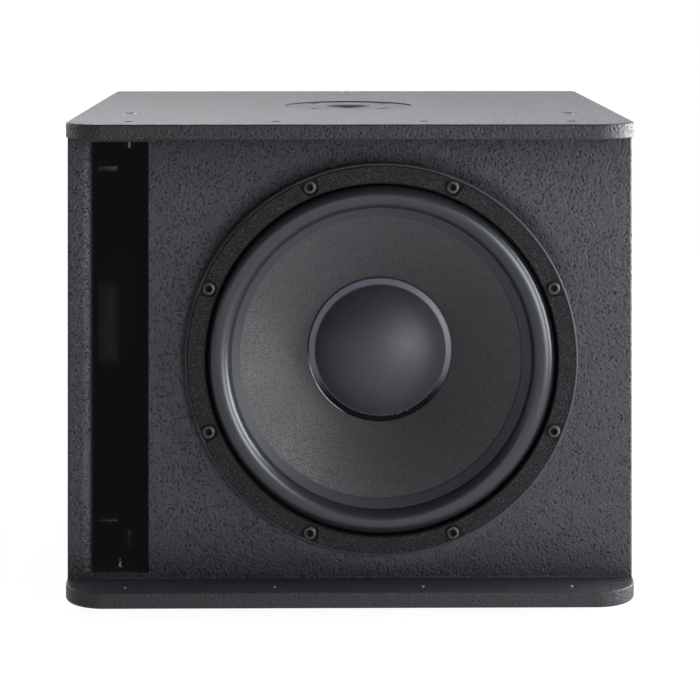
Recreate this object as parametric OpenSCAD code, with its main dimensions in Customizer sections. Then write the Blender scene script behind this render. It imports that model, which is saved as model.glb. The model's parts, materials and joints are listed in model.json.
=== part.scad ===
// Passive 15-inch bass-reflex subwoofer cabinet, built from its separate pieces.
// Millimetres. +Z is up and the front faces -Y. The origin is on the floor, under
// the middle of the cabinet.

/* [Cabinet] */
// Width across the side panels
body_w = 565; // [560:1:580]
// Height of the wooden box, without its feet
body_h = 473; // [470:1:490]
// Depth from the front edges of the top and bottom to the rear panel
body_d = 538; // [530:1:550]
// Thickness of the plywood panels
panel_t = 15; // [15:1:16]
// Thickness of the bottom panel
bottom_t = 16; // [15:1:18]
// Thickness of the front baffle
baffle_t = 18; // [16:1:20]
// How far the baffle sits behind the front edges of the top and bottom
baffle_recess = 49; // [48:1:56]
// Corner radius at the front of the top and bottom panels
front_corner_r = 41; // [20:1:60]
// Corner radius at the rear of the top and bottom panels
rear_corner_r = 8; // [4:1:12]
// Height of the rubber feet
foot_h = 10; // [8:1:12]

/* [Port] */
// Solid strip of baffle between the cabinet's side and the slot
port_strip = 23.4; // [22:0.2:25]
// Width of the slot
port_w = 57; // [50:1:58]
// Lip of the baffle above and below the slot
port_lip = 6; // [4:1:10]
// Round-over on the slot's outer edge
port_round_r = 9; // [6:1:9]
// Length of the inner wall behind the baffle
port_len = 389; // [340:1:400]
// Thickness of the inner wall
port_wall_t = 12; // [10:1:14]

/* [Driver] */
// Sideways place of the driver's axis
driver_x = 31.1; // [28:0.1:34]
// Height of the driver's axis above the middle of the box
driver_lift = -1.3; // [-5:0.1:5]
// Outer radius of the basket's flange where it meets the baffle
flange_r = 196.5; // [195:0.5:198]
// Diameter of the bolt circle
bolt_pcd = 372.4; // [371:0.2:374]
// Outer radius of the rubber roll
roll_r = 174.4; // [172:0.1:175]
// Radius of the cone inside the surround's foot
cone_r = 141; // [140:0.5:142]
// Slope of the cone's paper, in degrees from the baffle
cone_slope = 32.5; // [30:0.5:34]
// Radius of the voice coil former
coil_r = 50; // [49:0.5:51]
// Outer radius of the dust cap's skirt
cap_r = 73.3; // [70:0.1:76]
// Radius of the dust cap's dome
dome_r = 66.5; // [64:0.1:68]
// Height of the dust cap's dome
dome_h = 30; // [16:1:32]

/* [Fittings] */
// Radius of the pole flange on the top
pole_flange_r = 70; // [66:1:74]
// Radius of the M20 thread's wall
pole_thread_r = 8.65; // [8:0.05:9]
// Radius of the M10 inserts' threaded wall
insert_thread_r = 4.25; // [4:0.05:4.5]
// Length of the M10 inserts
insert_len = 36; // [30:1:40]
// Distance between neighbouring grille holes
grille_pitch = 147; // [140:1:150]
// Width of the connector plate at the rear
plate_w = 180; // [170:1:200]
// Height of the connector plate at the rear
plate_h = 100; // [94:1:110]

/* [Hidden] */
$fn = 72;

gap = 0.05;                          // clearance between a fastener and its hole
side_x = body_w / 2;                 // outer face of the right side panel
front_y = -body_d / 2;
rear_y = body_d / 2;
base_z = foot_h;                     // underside of the bottom panel
top_z = foot_h + body_h;
in_x = side_x - panel_t;             // the box's inner faces
in_bottom = base_z + bottom_t;
in_top = top_z - panel_t;
in_rear = rear_y - panel_t;
baffle_y = front_y + baffle_recess;  // front face of the baffle
in_front = baffle_y + baffle_t;
mid_z = base_z + body_h / 2;
driver_z = mid_z + driver_lift;

slot_x0 = -side_x + port_strip;
slot_x1 = slot_x0 + port_w + 0.1;
wall_x1 = slot_x1 + port_wall_t;
wall_end = in_front + port_len;
brace_y = wall_end - 60;

// Depths inside the driver are counted rearwards from the front of the gasket.
gasket_t = 2.5;
flange_back = 8;
seal_t = 1;
gasket_y = baffle_y - flange_back - seal_t;
cut_r = 178.8;
bolt_r = bolt_pcd / 2;
bolt_angles = [for (i = [0:7]) 22.5 + 45 * i];
roll_foot = 11;                      // depth of the flats beside the rubber roll
rubber_t = 1.2;
roll_w = 24;
lip_r = roll_r - roll_w + 0.5;       // outer edge of the cone's lip
foot_t = 1.4;                        // thickness of the surround's inner foot
cone_top = 16;                       // depth of the cone's front face at cone_r
paper_t = 0.9;
cone_neck = cone_top + (cone_r - coil_r) * tan(cone_slope);
cap_depth = cone_top + (cone_r - cap_r) * tan(cone_slope);
spider_z = 88;
spider_r = 108;
ring_z = 104;                        // front of the basket's rear ring
plate_z0 = 112;                      // the motor's plates, front to back
magnet_z0 = 122;
yoke_z0 = 147;
yoke_z1 = 157;
motor_screw_r = 80;
motor_screw_angles = [for (i = [0:5]) 60 * i];
bolt_head_r = 6;
bolt_shank_r = 3;
notch_r = 8.6;                       // room around a bolt's head in the front gasket
vent_r = 17;                         // vent through the pole
former_t = 0.4;

grille_x = [for (i = [-1.5:1:1.5]) i * grille_pitch];
grille_hole_y = front_y + 41.6;
ledge_hole_y = front_y + 19;
pole_y = front_y + 278;
pole_screw = 37.7;
pole_plate_z = top_z - 1;            // the pole flange lies 1 mm below the surface
pole_plate_t = 5;
foot_x = side_x - 48;
foot_y = -front_y - 95;
insert_x = side_x - 52;
insert_y = front_y + 157.5;
rear_insert_y = rear_y - 23;
side_insert_y = front_y + 194;
side_insert_z = [base_z + 36, top_z - 60];
handle_y = 21;
handle_z = top_z - 226.5;
cup_w = 190;
cup_h = 108;
cup_depth = panel_t + 22.5;
plate_x = 0;
plate_zc = base_z + 120;
plate_sink = 3.5;                    // the connector plate lies below the rear face
plate_t = 2.5;
connector_x = [-38, 38];

module slab(low, high) translate(low) cube(high - low);

module rounded_rect(w, h, r) {
    square([w - 2 * r, h], center = true);
    square([w, h - 2 * r], center = true);
    for (x = [-1, 1], y = [-1, 1])
        translate([x * (w / 2 - r), y * (h / 2 - r)]) circle(r = r);
}

module ring(r0, r1, z0, z1) {
    translate([0, 0, z0]) difference() {
        cylinder(r = r1, h = z1 - z0);
        translate([0, 0, -1]) cylinder(r = r0, h = z1 - z0 + 2);
    }
}

// Depth of the cone's straight slope at a radius.
function cone_at(r) = cone_top + (cone_r - r) * tan(cone_slope);

// Local +Z becomes +Y: into the cabinet from the driver's gasket.
module on_driver_axis() translate([driver_x, gasket_y, driver_z]) rotate([-90, 0, 0]) children();

module around(angles, r) for (a = angles) rotate(a) translate([r, 0, 0]) children();

module on_side(side) translate([side * side_x, handle_y, handle_z]) rotate([0, side * 90, 0]) children();

// Local +Z points out of the rear of the cabinet, from the connector plate's outer face.
module on_plate() translate([plate_x, rear_y - plate_sink, plate_zc]) rotate([-90, 0, 0]) children();

// One place for each M10 insert, with local +Z pointing out of the cabinet.
module at_inserts() {
    for (s = [-1, 1]) {
        translate([s * insert_x, insert_y, top_z]) children();
        translate([s * insert_x, insert_y, base_z]) rotate([180, 0, 0]) children();
        for (z = side_insert_z)
            translate([s * side_x, side_insert_y, z]) rotate([0, s * 90, 0]) children();
    }
    translate([0, rear_insert_y, top_z]) children();
    translate([0, rear_insert_y, base_z]) rotate([180, 0, 0]) children();
}

module insert_hole() {
    translate([0, 0, -2.5]) cylinder(r = 9 + gap, h = 3);
    translate([0, 0, -bottom_t - 1]) cylinder(r = 6.5 + gap, h = bottom_t + 1);
}

module at_pole_screws()
    for (x = [-1, 1], y = [-1, 1]) translate([x * pole_screw, pole_y + y * pole_screw, 0]) children();

module at_feet() for (x = [-1, 1], y = [-1, 1]) translate([x * foot_x, y * foot_y, 0]) children();

module at_plate_screws()
    for (x = [-1, 0, 1], y = [-1, 1])
        translate([x * (plate_w / 2 - 7), y * (plate_h / 2 - 6), 0]) children();

module at_connector_screws()
    for (x = connector_x, s = [-1, 1]) translate([x + s * 9.5, s * 12, 0]) children();

// Six places around a handle's flange.
module at_handle_screws()
    for (x = [-1, 1], y = [-1, 0, 1]) translate([x * 60, y * 98, 0]) children();

// Outline of the top and bottom panels, with large front corners and small rear ones.
module footprint() {
    for (s = [-1, 1]) {
        translate([s * (side_x - front_corner_r), front_y + front_corner_r]) circle(r = front_corner_r);
        translate([s * (side_x - rear_corner_r), rear_y - rear_corner_r]) circle(r = rear_corner_r);
    }
    translate([-side_x + front_corner_r, front_y]) square([body_w - 2 * front_corner_r, body_d]);
    translate([-side_x, front_y + front_corner_r])
        square([body_w, body_d - front_corner_r - rear_corner_r]);
    translate([-side_x + rear_corner_r, 0]) square([body_w - 2 * rear_corner_r, rear_y]);
}

module top_panel() {
    color([0.62, 0.62, 0.63]) difference() {
        translate([0, 0, in_top]) linear_extrude(panel_t) footprint();
        at_inserts() insert_hole();
        for (x = grille_x) translate([x, grille_hole_y, in_top - 1]) {
            cylinder(r = 2.75, h = panel_t + 2);
            translate([0, 0, panel_t - 2.25]) cylinder(r1 = 2.75, r2 = 6.25, h = 3.5);
        }
        translate([0, pole_y, pole_plate_z - pole_plate_t]) cylinder(r = pole_flange_r + 0.3, h = 10);
        translate([0, pole_y, in_top - 1]) cylinder(r = 16.5, h = panel_t);
        at_pole_screws() translate([0, 0, in_top - 1]) cylinder(r = 5 + gap, h = panel_t);
    }
}

module bottom_panel() {
    color([0.24, 0.24, 0.26]) difference() {
        translate([0, 0, base_z]) linear_extrude(bottom_t) footprint();
        at_inserts() insert_hole();
        for (x = grille_x) translate([x, ledge_hole_y, in_bottom - 12]) cylinder(r = 3.9 + gap, h = 13);
        at_feet() translate([0, 0, base_z - 1]) cylinder(r = 3.9 + gap, h = bottom_t + 2);
    }
}

module side_panel(side) {
    color([0.24, 0.24, 0.26]) difference() {
        slab([side < 0 ? -side_x : in_x, in_front, in_bottom],
             [side < 0 ? -in_x : side_x, rear_y, in_top]);
        at_inserts() insert_hole();
        on_side(side) {
            translate([0, 0, -panel_t - 1]) linear_extrude(panel_t + 2)
                rounded_rect(cup_h + 0.6, cup_w + 0.6, 20.3);
            at_handle_screws() translate([0, 0, -13]) cylinder(r = 2 + gap, h = 14);
        }
    }
}

module left_side_panel() side_panel(-1);

module right_side_panel() side_panel(1);

module rear_panel() {
    color([0.24, 0.24, 0.26]) difference() {
        slab([-in_x, in_rear, in_bottom], [in_x, rear_y, in_top]);
        on_plate() {
            translate([0, 0, -plate_t - 1]) linear_extrude(plate_sink + plate_t + 2)
                rounded_rect(plate_w + 0.6, plate_h + 0.6, 8.3);
            translate([0, 0, -panel_t]) linear_extrude(panel_t + 1)
                rounded_rect(plate_w - 26, plate_h - 24, 6);
            at_plate_screws() translate([0, 0, -10.5]) cylinder(r = 1.75 + gap, h = 12);
        }
    }
}

module front_baffle() {
    color([0.25, 0.25, 0.27]) difference() {
        slab([-side_x, baffle_y, in_bottom], [side_x, in_front, in_top]);
        slab([slot_x0, baffle_y - 1, in_bottom + port_lip], [slot_x1, in_front + 1, in_top - port_lip]);
        translate([slot_x0 - port_round_r, baffle_y, in_bottom + port_lip])
            linear_extrude(in_top - in_bottom - 2 * port_lip)
                difference() {
                    translate([0, -1]) square([port_round_r + 1, port_round_r + 1]);
                    translate([0, port_round_r]) circle(r = port_round_r);
                }
        on_driver_axis() {
            cylinder(r = cut_r, h = 60);
            around(bolt_angles, bolt_r) cylinder(r = 3.9 + gap, h = 60);
        }
    }
}

module port_wall()
    color([0.2, 0.2, 0.22]) slab([slot_x1, in_front, in_bottom], [wall_x1, wall_end, in_top]);

module window_brace() {
    rail = 45;
    span_x = in_x - wall_x1;
    span_z = in_top - in_bottom;
    color([0.72, 0.58, 0.4]) difference() {
        slab([wall_x1, brace_y, in_bottom], [in_x, brace_y + panel_t, in_top]);
        translate([(wall_x1 + in_x) / 2, brace_y + panel_t + 1, (in_bottom + in_top) / 2])
            rotate([90, 0, 0]) linear_extrude(panel_t + 2)
                for (x = [-1, 1], y = [-1, 1])
                    translate([x * (span_x - rail) / 4, y * (span_z - rail) / 4])
                        rounded_rect((span_x - 3 * rail) / 2, (span_z - 3 * rail) / 2, 25);
    }
}

// Two slabs: one on the rear panel, open around the connectors, and one on the port wall.
module acoustic_foam() {
    color([0.18, 0.18, 0.19]) {
        difference() {
            slab([wall_x1 + 4, in_rear - 28, in_bottom + 25], [in_x - 4, in_rear, in_top - 28]);
            slab([plate_x - plate_w / 2, in_rear - 30, plate_zc - plate_h / 2],
                 [plate_x + plate_w / 2, in_rear + 2, plate_zc + plate_h / 2]);
        }
        slab([wall_x1, in_front + 6, in_bottom + 5], [wall_x1 + 22, brace_y - 8, in_top - 5]);
    }
}

// Steel plate with a dished mouth and a closed M20 boss.
module pole_flange() {
    color([0.3, 0.3, 0.31]) difference() {
        union() {
            translate([0, pole_y, pole_plate_z - pole_plate_t])
                cylinder(r = pole_flange_r, h = pole_plate_t);
            translate([0, pole_y, pole_plate_z - 40]) cylinder(r = 16, h = 38);
        }
        translate([0, pole_y, pole_plate_z - 36]) cylinder(r = pole_thread_r, h = 40);
        translate([0, pole_y, pole_plate_z - 3.2]) cylinder(r1 = 12, r2 = 25.8, h = 3.201);
        at_pole_screws() {
            translate([0, 0, pole_plate_z - pole_plate_t - 1]) cylinder(r = 4.2, h = 8);
            translate([0, 0, pole_plate_z - 3.3]) cylinder(r1 = 4.2, r2 = 7.5, h = 3.301);
        }
    }
}

module pole_flange_screws() {
    color([0.12, 0.12, 0.13]) at_pole_screws() difference() {
        union() {
            translate([0, 0, pole_plate_z - 22]) cylinder(r = 4, h = 20);
            translate([0, 0, pole_plate_z - 3.25]) cylinder(r1 = 4, r2 = 7.15, h = 3.05);
        }
        translate([0, 0, pole_plate_z - 2.8]) cylinder(r = 2.9, h = 3, $fn = 6);
    }
}

module t_nut(r, barrel_r, flange_radius, barrel_len) {
    difference() {
        union() {
            translate([0, 0, -1.5]) cylinder(r = flange_radius, h = 1.5);
            cylinder(r = barrel_r, h = barrel_len);
        }
        translate([0, 0, -2]) cylinder(r = r + gap, h = barrel_len + 3);
    }
}

module pole_flange_t_nuts()
    color([0.75, 0.75, 0.77]) at_pole_screws() translate([0, 0, in_top]) t_nut(4, 5, 11, 8);

module rigging_inserts() {
    color([0.3, 0.3, 0.31]) at_inserts() difference() {
        union() {
            translate([0, 0, -2.3]) cylinder(r = 9, h = 2);
            translate([0, 0, -insert_len]) cylinder(r = 6.5, h = insert_len - 1);
        }
        translate([0, 0, -insert_len + 4]) cylinder(r = insert_thread_r, h = insert_len);
    }
}

module ledge_inserts() {
    color([0.78, 0.6, 0.3]) for (x = grille_x) translate([x, ledge_hole_y, in_bottom - 11.5])
        difference() {
            cylinder(r = 3.9, h = 11.3);
            translate([0, 0, 1]) cylinder(r = 2.1, h = 12);
        }
}

// Pressed steel dish with a flange on the outside of the side panel.
module handle_cup(side) {
    color([0.1, 0.1, 0.11]) on_side(side) difference() {
        union() {
            linear_extrude(2) rounded_rect(cup_h + 25, cup_w + 25, 16);
            translate([0, 0, -cup_depth]) linear_extrude(cup_depth + 1) rounded_rect(cup_h, cup_w, 20);
        }
        translate([0, 0, -cup_depth + 2]) linear_extrude(cup_depth + 2)
            rounded_rect(cup_h - 4, cup_w - 4, 18);
        at_handle_screws() translate([0, 0, -1]) cylinder(r = 2.3, h = 4);
    }
}

module handle_cup_left() handle_cup(-1);

module handle_cup_right() handle_cup(1);

// A rounded bar across each dish, in its upper half.
module handle_grips() {
    color([0.08, 0.08, 0.08]) for (side = [-1, 1]) on_side(side)
        translate([-side * 18, 0, -11]) rotate([90, 0, 0])
            linear_extrude(cup_w - 4.4, center = true) rounded_rect(30, 16, 7);
}

module handle_screws() {
    color([0.12, 0.12, 0.12]) for (side = [-1, 1]) on_side(side) at_handle_screws() {
        translate([0, 0, 2]) cylinder(r1 = 3.8, r2 = 2.6, h = 1.4);
        translate([0, 0, -12]) cylinder(r = 2, h = 14.2);
    }
}

module connector_plate() {
    color([0.13, 0.13, 0.14]) on_plate() difference() {
        translate([0, 0, -plate_t]) linear_extrude(plate_t) rounded_rect(plate_w, plate_h, 8);
        for (x = connector_x) translate([x, 0, -5]) cylinder(r = 12.1, h = 10);
        at_connector_screws() translate([0, 0, -5]) cylinder(r = 1.6, h = 10);
        at_plate_screws() translate([0, 0, -5]) cylinder(r = 2, h = 10);
    }
}

module plate_gasket() {
    color([0.1, 0.1, 0.1]) on_plate() difference() {
        translate([0, 0, -plate_t - 1]) linear_extrude(1) rounded_rect(plate_w, plate_h, 8);
        translate([0, 0, -5]) linear_extrude(5) rounded_rect(plate_w - 26, plate_h - 24, 6);
        at_plate_screws() translate([0, 0, -5]) cylinder(r = 2, h = 10);
    }
}

module plate_screws() {
    color([0.12, 0.12, 0.12]) on_plate() at_plate_screws() {
        cylinder(r1 = 3.5, r2 = 2.4, h = 1.5);
        translate([0, 0, -9.5]) cylinder(r = 1.75, h = 9.7);
    }
}

// Round four-pole sockets: a square flange, a shell and a hollow core.
module speaker_connectors() {
    color([0.09, 0.09, 0.1]) on_plate() for (x = connector_x) translate([x, 0, 0]) {
        difference() {
            union() {
                linear_extrude(2) rounded_rect(26, 31, 3);
                translate([0, 0, -24]) cylinder(r = 12, h = 25);
            }
            translate([0, 0, -14]) cylinder(r = 10.6, h = 20);
            translate([0, 0, -2]) slab([9, -2, -10], [11.6, 2, 10]);
            for (s = [-1, 1]) translate([s * 9.5, s * 12, -1]) cylinder(r = 1.6, h = 5);
        }
        ring(4.6, 7.2, -15, 0.6);
    }
}

module connector_screws() {
    color([0.12, 0.12, 0.12]) on_plate() at_connector_screws() {
        translate([0, 0, 2]) cylinder(r1 = 2.7, r2 = 1.9, h = 1.2);
        translate([0, 0, -6]) cylinder(r = 1.5, h = 8.2);
    }
}

module rubber_feet() {
    color([0.07, 0.07, 0.07]) at_feet() difference() {
        cylinder(r1 = 17.5, r2 = 19, h = foot_h);
        translate([0, 0, -1]) cylinder(r = 7, h = 6);
        translate([0, 0, -1]) cylinder(r = 3.3, h = foot_h + 2);
    }
}

module foot_screws() {
    color([0.7, 0.7, 0.72]) at_feet() difference() {
        union() {
            translate([0, 0, 1.8]) cylinder(r = 5.5, h = 3.2);
            translate([0, 0, 4.9]) cylinder(r = 3, h = base_z + bottom_t + 9);
        }
        translate([0, 0, 1]) cylinder(r = 2.3, h = 3, $fn = 6);
    }
}

module foot_t_nuts()
    color([0.75, 0.75, 0.77]) at_feet()
        translate([0, 0, in_bottom]) rotate([180, 0, 0]) t_nut(3, 3.9, 10, 9);

// Pieces of round wire from point to point, with a slightly fuller bead at each bend.
module wire(points, r) {
    for (i = [0:len(points) - 2]) {
        run = points[i + 1] - points[i];
        translate(points[i]) rotate([0, acos(run.z / norm(run)), atan2(run.y, run.x)])
            cylinder(r = r, h = norm(run), $fn = 24);
    }
    for (p = points) translate(p) sphere(r = r * 1.04, $fn = 24);
}

module speaker_cable() {
    start_y = rear_y - plate_sink - 30;
    color([0.15, 0.15, 0.16]) wire([
        [plate_x, start_y, plate_zc],
        [plate_x + 20, start_y - 22, plate_zc - 20],
        [plate_x + 60, brace_y + 40, in_bottom + 85],
        [plate_x + 75, brace_y - 25, in_bottom + 85],
        [driver_x + 12, gasket_y + 190, driver_z - 150],
        [driver_x + 10, gasket_y + 135, driver_z - 150],
        [driver_x, gasket_y + 122, driver_z - 133],
    ], 3.5);
}

// Cast basket: flange, wall, glue ledge, slanted arms, spider shelf and rear ring.
module driver_basket() {
    color([0.1, 0.1, 0.11]) on_driver_axis() difference() {
        rotate_extrude() polygon([
            [175.6, gasket_t], [flange_r - 2.5, gasket_t], [flange_r - 0.6, gasket_t + 1.9],
            [flange_r, flange_back], [178.3, flange_back], [178.3, roll_foot + 3], [174, roll_foot + 7],
            [spider_r + 16, spider_z + 4], [spider_r + 10, spider_z + 6], [spider_r + 10, plate_z0],
            [60, plate_z0], [60, ring_z], [spider_r + 4, ring_z], [spider_r + 4, spider_z + 4],
            [98, spider_z + 4], [98, spider_z], [spider_r + 11, spider_z], [168.5, roll_foot + 7],
            [169.5, roll_foot], [175.6, roll_foot],
        ]);
        around(bolt_angles, bolt_r) cylinder(r = bolt_shank_r + 0.3, h = flange_back + 1);
        around([for (i = [0:7]) 45 * i], 0) translate([0, 0, 26]) linear_extrude(57)
            polygon([[105, -22], [172, -42], [172, 42], [105, 22]]);
        around(motor_screw_angles, motor_screw_r)
            translate([0, 0, ring_z - 1]) cylinder(r = bolt_shank_r + 0.2, h = 12);
        rotate(30) around(motor_screw_angles, spider_r + 7)
            translate([0, 0, spider_z + 5.5]) slab([-8, -20, 0], [8, 20, 8]);
    }
}

module basket_seal()
    color([0.08, 0.08, 0.08]) on_driver_axis() difference() {
        ring(180, 194, flange_back, flange_back + seal_t);
        around(bolt_angles, bolt_r) cylinder(r = 4.2, h = 20);
    }

// Front gasket, notched open to its rim around each bolt.
module front_gasket()
    color([0.12, 0.12, 0.12]) on_driver_axis() difference() {
        ring(177.1, 193.1, 0, gasket_t);
        around(bolt_angles, bolt_r) translate([0, 0, -1]) {
            cylinder(r = notch_r, h = 5);
            slab([0, -notch_r, 0], [12, notch_r, 5]);
        }
    }

module driver_bolts()
    color([0.2, 0.2, 0.2]) on_driver_axis() around(bolt_angles, bolt_r) difference() {
        union() {
            translate([0, 0, -0.9]) cylinder(r1 = bolt_head_r - 1.1, r2 = bolt_head_r, h = 1.4);
            translate([0, 0, 0.5]) cylinder(r = bolt_head_r, h = 2);
            translate([0, 0, 2.4]) cylinder(r = bolt_shank_r, h = 34);
        }
        translate([0, 0, -1]) cylinder(r = 2.9, h = 2.6, $fn = 6);
    }

module driver_t_nuts()
    color([0.75, 0.75, 0.77]) on_driver_axis() around(bolt_angles, bolt_r)
        translate([0, 0, flange_back + seal_t + baffle_t]) rotate([180, 0, 0]) t_nut(3, 3.9, 6.5, 12);

// Half-round rubber roll, with a flat outer foot and an inner foot that lies on the cone's slope.
module surround() {
    roll_mid = roll_r - roll_w / 2;
    foot_in = cone_r + 0.5;
    foot_out = lip_r + 0.8;
    color([0.16, 0.16, 0.17]) on_driver_axis() rotate_extrude() {
        difference() {
            intersection() {
                translate([roll_mid, roll_foot]) difference() {
                    circle(r = roll_w / 2);
                    circle(r = roll_w / 2 - rubber_t);
                }
                translate([roll_mid - roll_w, -5]) square([2 * roll_w, roll_foot + 5]);
            }
            polygon([
                [cone_r, cone_at(cone_r)], [lip_r + 5, cone_at(lip_r + 5)], [cone_r, cone_at(cone_r) + 12],
            ]);
        }
        translate([roll_r - rubber_t, roll_foot - rubber_t]) square([2.3, rubber_t]);
        polygon([
            [foot_in, cone_at(foot_in)], [foot_in, cone_at(foot_in) - foot_t],
            [foot_out, cone_at(foot_out) - foot_t], [foot_out, cone_at(foot_out)],
        ]);
    }
}

// Slightly curved paper cone, from the lip under the surround down to the voice coil.
module cone() {
    steps = 8;
    function drop(t) = cone_top + (cone_neck - cone_top) * (t + 0.1 * t * (1 - t) * (2 * t - 1));
    function at(t) = [cone_r - (cone_r - coil_r - 0.15) * t, drop(t)];
    lip = [lip_r, cone_at(lip_r) + gap];
    front = concat([lip], [for (i = [0:steps]) at(i / steps) + [0, gap]]);
    color([0.3, 0.3, 0.29]) on_driver_axis() rotate_extrude() polygon(concat(
        front,
        [for (i = [steps + 1:-1:0]) front[i] + [0, paper_t + 0.3]]
    ));
}

// Domed cap with a slanted skirt that is glued onto the cone.
module dust_cap() {
    sphere_r = (dome_r * dome_r + dome_h * dome_h) / (2 * dome_h);
    dome_foot = cap_depth - 3.5;
    color([0.25, 0.25, 0.26]) on_driver_axis() rotate_extrude() {
        intersection() {
            translate([0, dome_foot - dome_h + sphere_r]) difference() {
                circle(r = sphere_r);
                circle(r = sphere_r - 1);
            }
            translate([0, dome_foot - dome_h - 1]) square([dome_r, dome_h + 1]);
        }
        polygon([
            [dome_r - 0.9, dome_foot - 0.9], [dome_r, dome_foot - 0.9], [cap_r, cap_depth - 1.4],
            [cap_r, cap_depth - 0.3], [dome_r - 0.9, dome_foot + 0.5],
        ]);
    }
}

module voice_coil_former()
    color([0.8, 0.7, 0.4]) on_driver_axis()
        ring(coil_r + gap - former_t, coil_r + gap, cone_neck - 8, magnet_z0 + 5);

module voice_coil()
    color([0.8, 0.45, 0.25]) on_driver_axis()
        ring(coil_r + 2 * gap, coil_r + 1.2, plate_z0 - 4, magnet_z0 + 4);

// Corrugated suspension between the former and the basket's shelf.
module spider() {
    waves = 5;
    steps = 8 * waves;
    inner = coil_r + 4;
    outer = spider_r - 8;
    mid = spider_z - 2.6;
    cloth_t = 0.7;
    lift = 1.8;
    rim = spider_z - gap;
    line = [for (i = [0:steps])
        [inner + (outer - inner) * i / steps, mid + lift * sin(360 * waves * i / steps)]];
    color([0.75, 0.6, 0.25]) on_driver_axis() rotate_extrude() polygon(concat(
        [[coil_r + 0.1, mid], [coil_r + 0.1, mid + cloth_t]],
        [for (p = line) p + [0, cloth_t]],
        [[spider_r - 7, rim], [spider_r, rim], [spider_r, rim - cloth_t], [spider_r - 6.5, rim - cloth_t]],
        [for (i = [steps:-1:0]) line[i]]
    ));
}

module top_plate()
    color([0.3, 0.3, 0.32]) on_driver_axis() difference() {
        ring(coil_r + 2.3, 100, plate_z0, magnet_z0);
        around(motor_screw_angles, motor_screw_r)
            translate([0, 0, plate_z0 - 1]) cylinder(r = bolt_shank_r + gap, h = 9);
    }

module magnet_ring() color([0.22, 0.22, 0.23]) on_driver_axis() ring(58, 110, magnet_z0, yoke_z0);

// Rear plate and vented pole in one piece.
module pole_yoke()
    color([0.3, 0.3, 0.32]) on_driver_axis() difference() {
        union() {
            translate([0, 0, yoke_z0]) cylinder(r = 100, h = yoke_z1 - yoke_z0);
            translate([0, 0, plate_z0]) cylinder(r = coil_r - 1, h = 15);
            translate([0, 0, plate_z0 + 14]) cylinder(r = coil_r - 4, h = yoke_z0 - plate_z0 - 13);
        }
        translate([0, 0, plate_z0 - 1]) cylinder(r = vent_r, h = 60);
    }

module shorting_ring()
    color([0.8, 0.45, 0.3]) on_driver_axis()
        ring(coil_r - 4 + gap, coil_r - 1, plate_z0 + 15.2, yoke_z0 - 0.2);

module motor_screws()
    color([0.7, 0.7, 0.72]) on_driver_axis() around(motor_screw_angles, motor_screw_r) difference() {
        union() {
            translate([0, 0, ring_z - 3]) cylinder(r = 5, h = 3);
            translate([0, 0, ring_z - 0.1]) cylinder(r = bolt_shank_r, h = 15);
        }
        translate([0, 0, ring_z - 4]) cylinder(r = 2.3, h = 3, $fn = 6);
    }

// Two-pole block on the basket's lower side.
module terminal_block()
    color([0.5, 0.1, 0.1]) on_driver_axis() difference() {
        union() {
            slab([-18, spider_r + 4, ring_z - 6], [18, spider_r + 28, plate_z0 - 1]);
            for (s = [-1, 1])
                slab([s * 10 - 3, spider_r + 25, plate_z0 - 2], [s * 10 + 3, spider_r + 26.5, plate_z0 + 8]);
        }
        cylinder(r = spider_r + 10 + gap, h = 200);
    }

module tinsel_leads() {
    lead_z = ring_z - 7.2;
    color([0.75, 0.5, 0.3]) on_driver_axis() for (s = [-1, 1]) wire([
        [s * 10, spider_r + 27, lead_z],
        [s * 11, spider_r + 27, 80],
        [s * 11, spider_r + 8, 70],
        [s * 10, 93, cone_at(93) + 4.2],
    ], 1);
}

top_panel();
bottom_panel();
left_side_panel();
right_side_panel();
rear_panel();
front_baffle();
port_wall();
window_brace();
acoustic_foam();
pole_flange();
pole_flange_screws();
pole_flange_t_nuts();
rigging_inserts();
ledge_inserts();
handle_cup_left();
handle_cup_right();
handle_grips();
handle_screws();
connector_plate();
plate_gasket();
plate_screws();
speaker_connectors();
connector_screws();
rubber_feet();
foot_screws();
foot_t_nuts();
speaker_cable();
driver_basket();
basket_seal();
front_gasket();
driver_bolts();
driver_t_nuts();
surround();
cone();
dust_cap();
voice_coil_former();
voice_coil();
spider();
top_plate();
magnet_ring();
pole_yoke();
shorting_ring();
motor_screws();
terminal_block();
tinsel_leads();
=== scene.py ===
"""The looks of a passive 15-inch bass-reflex subwoofer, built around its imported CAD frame.

Shapes are worked out in millimetres. piece() turns them into metres, the frame's unit.
"""
import json
import math
import random

import bmesh
import bpy
from mathutils import Matrix, Vector, noise

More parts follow.
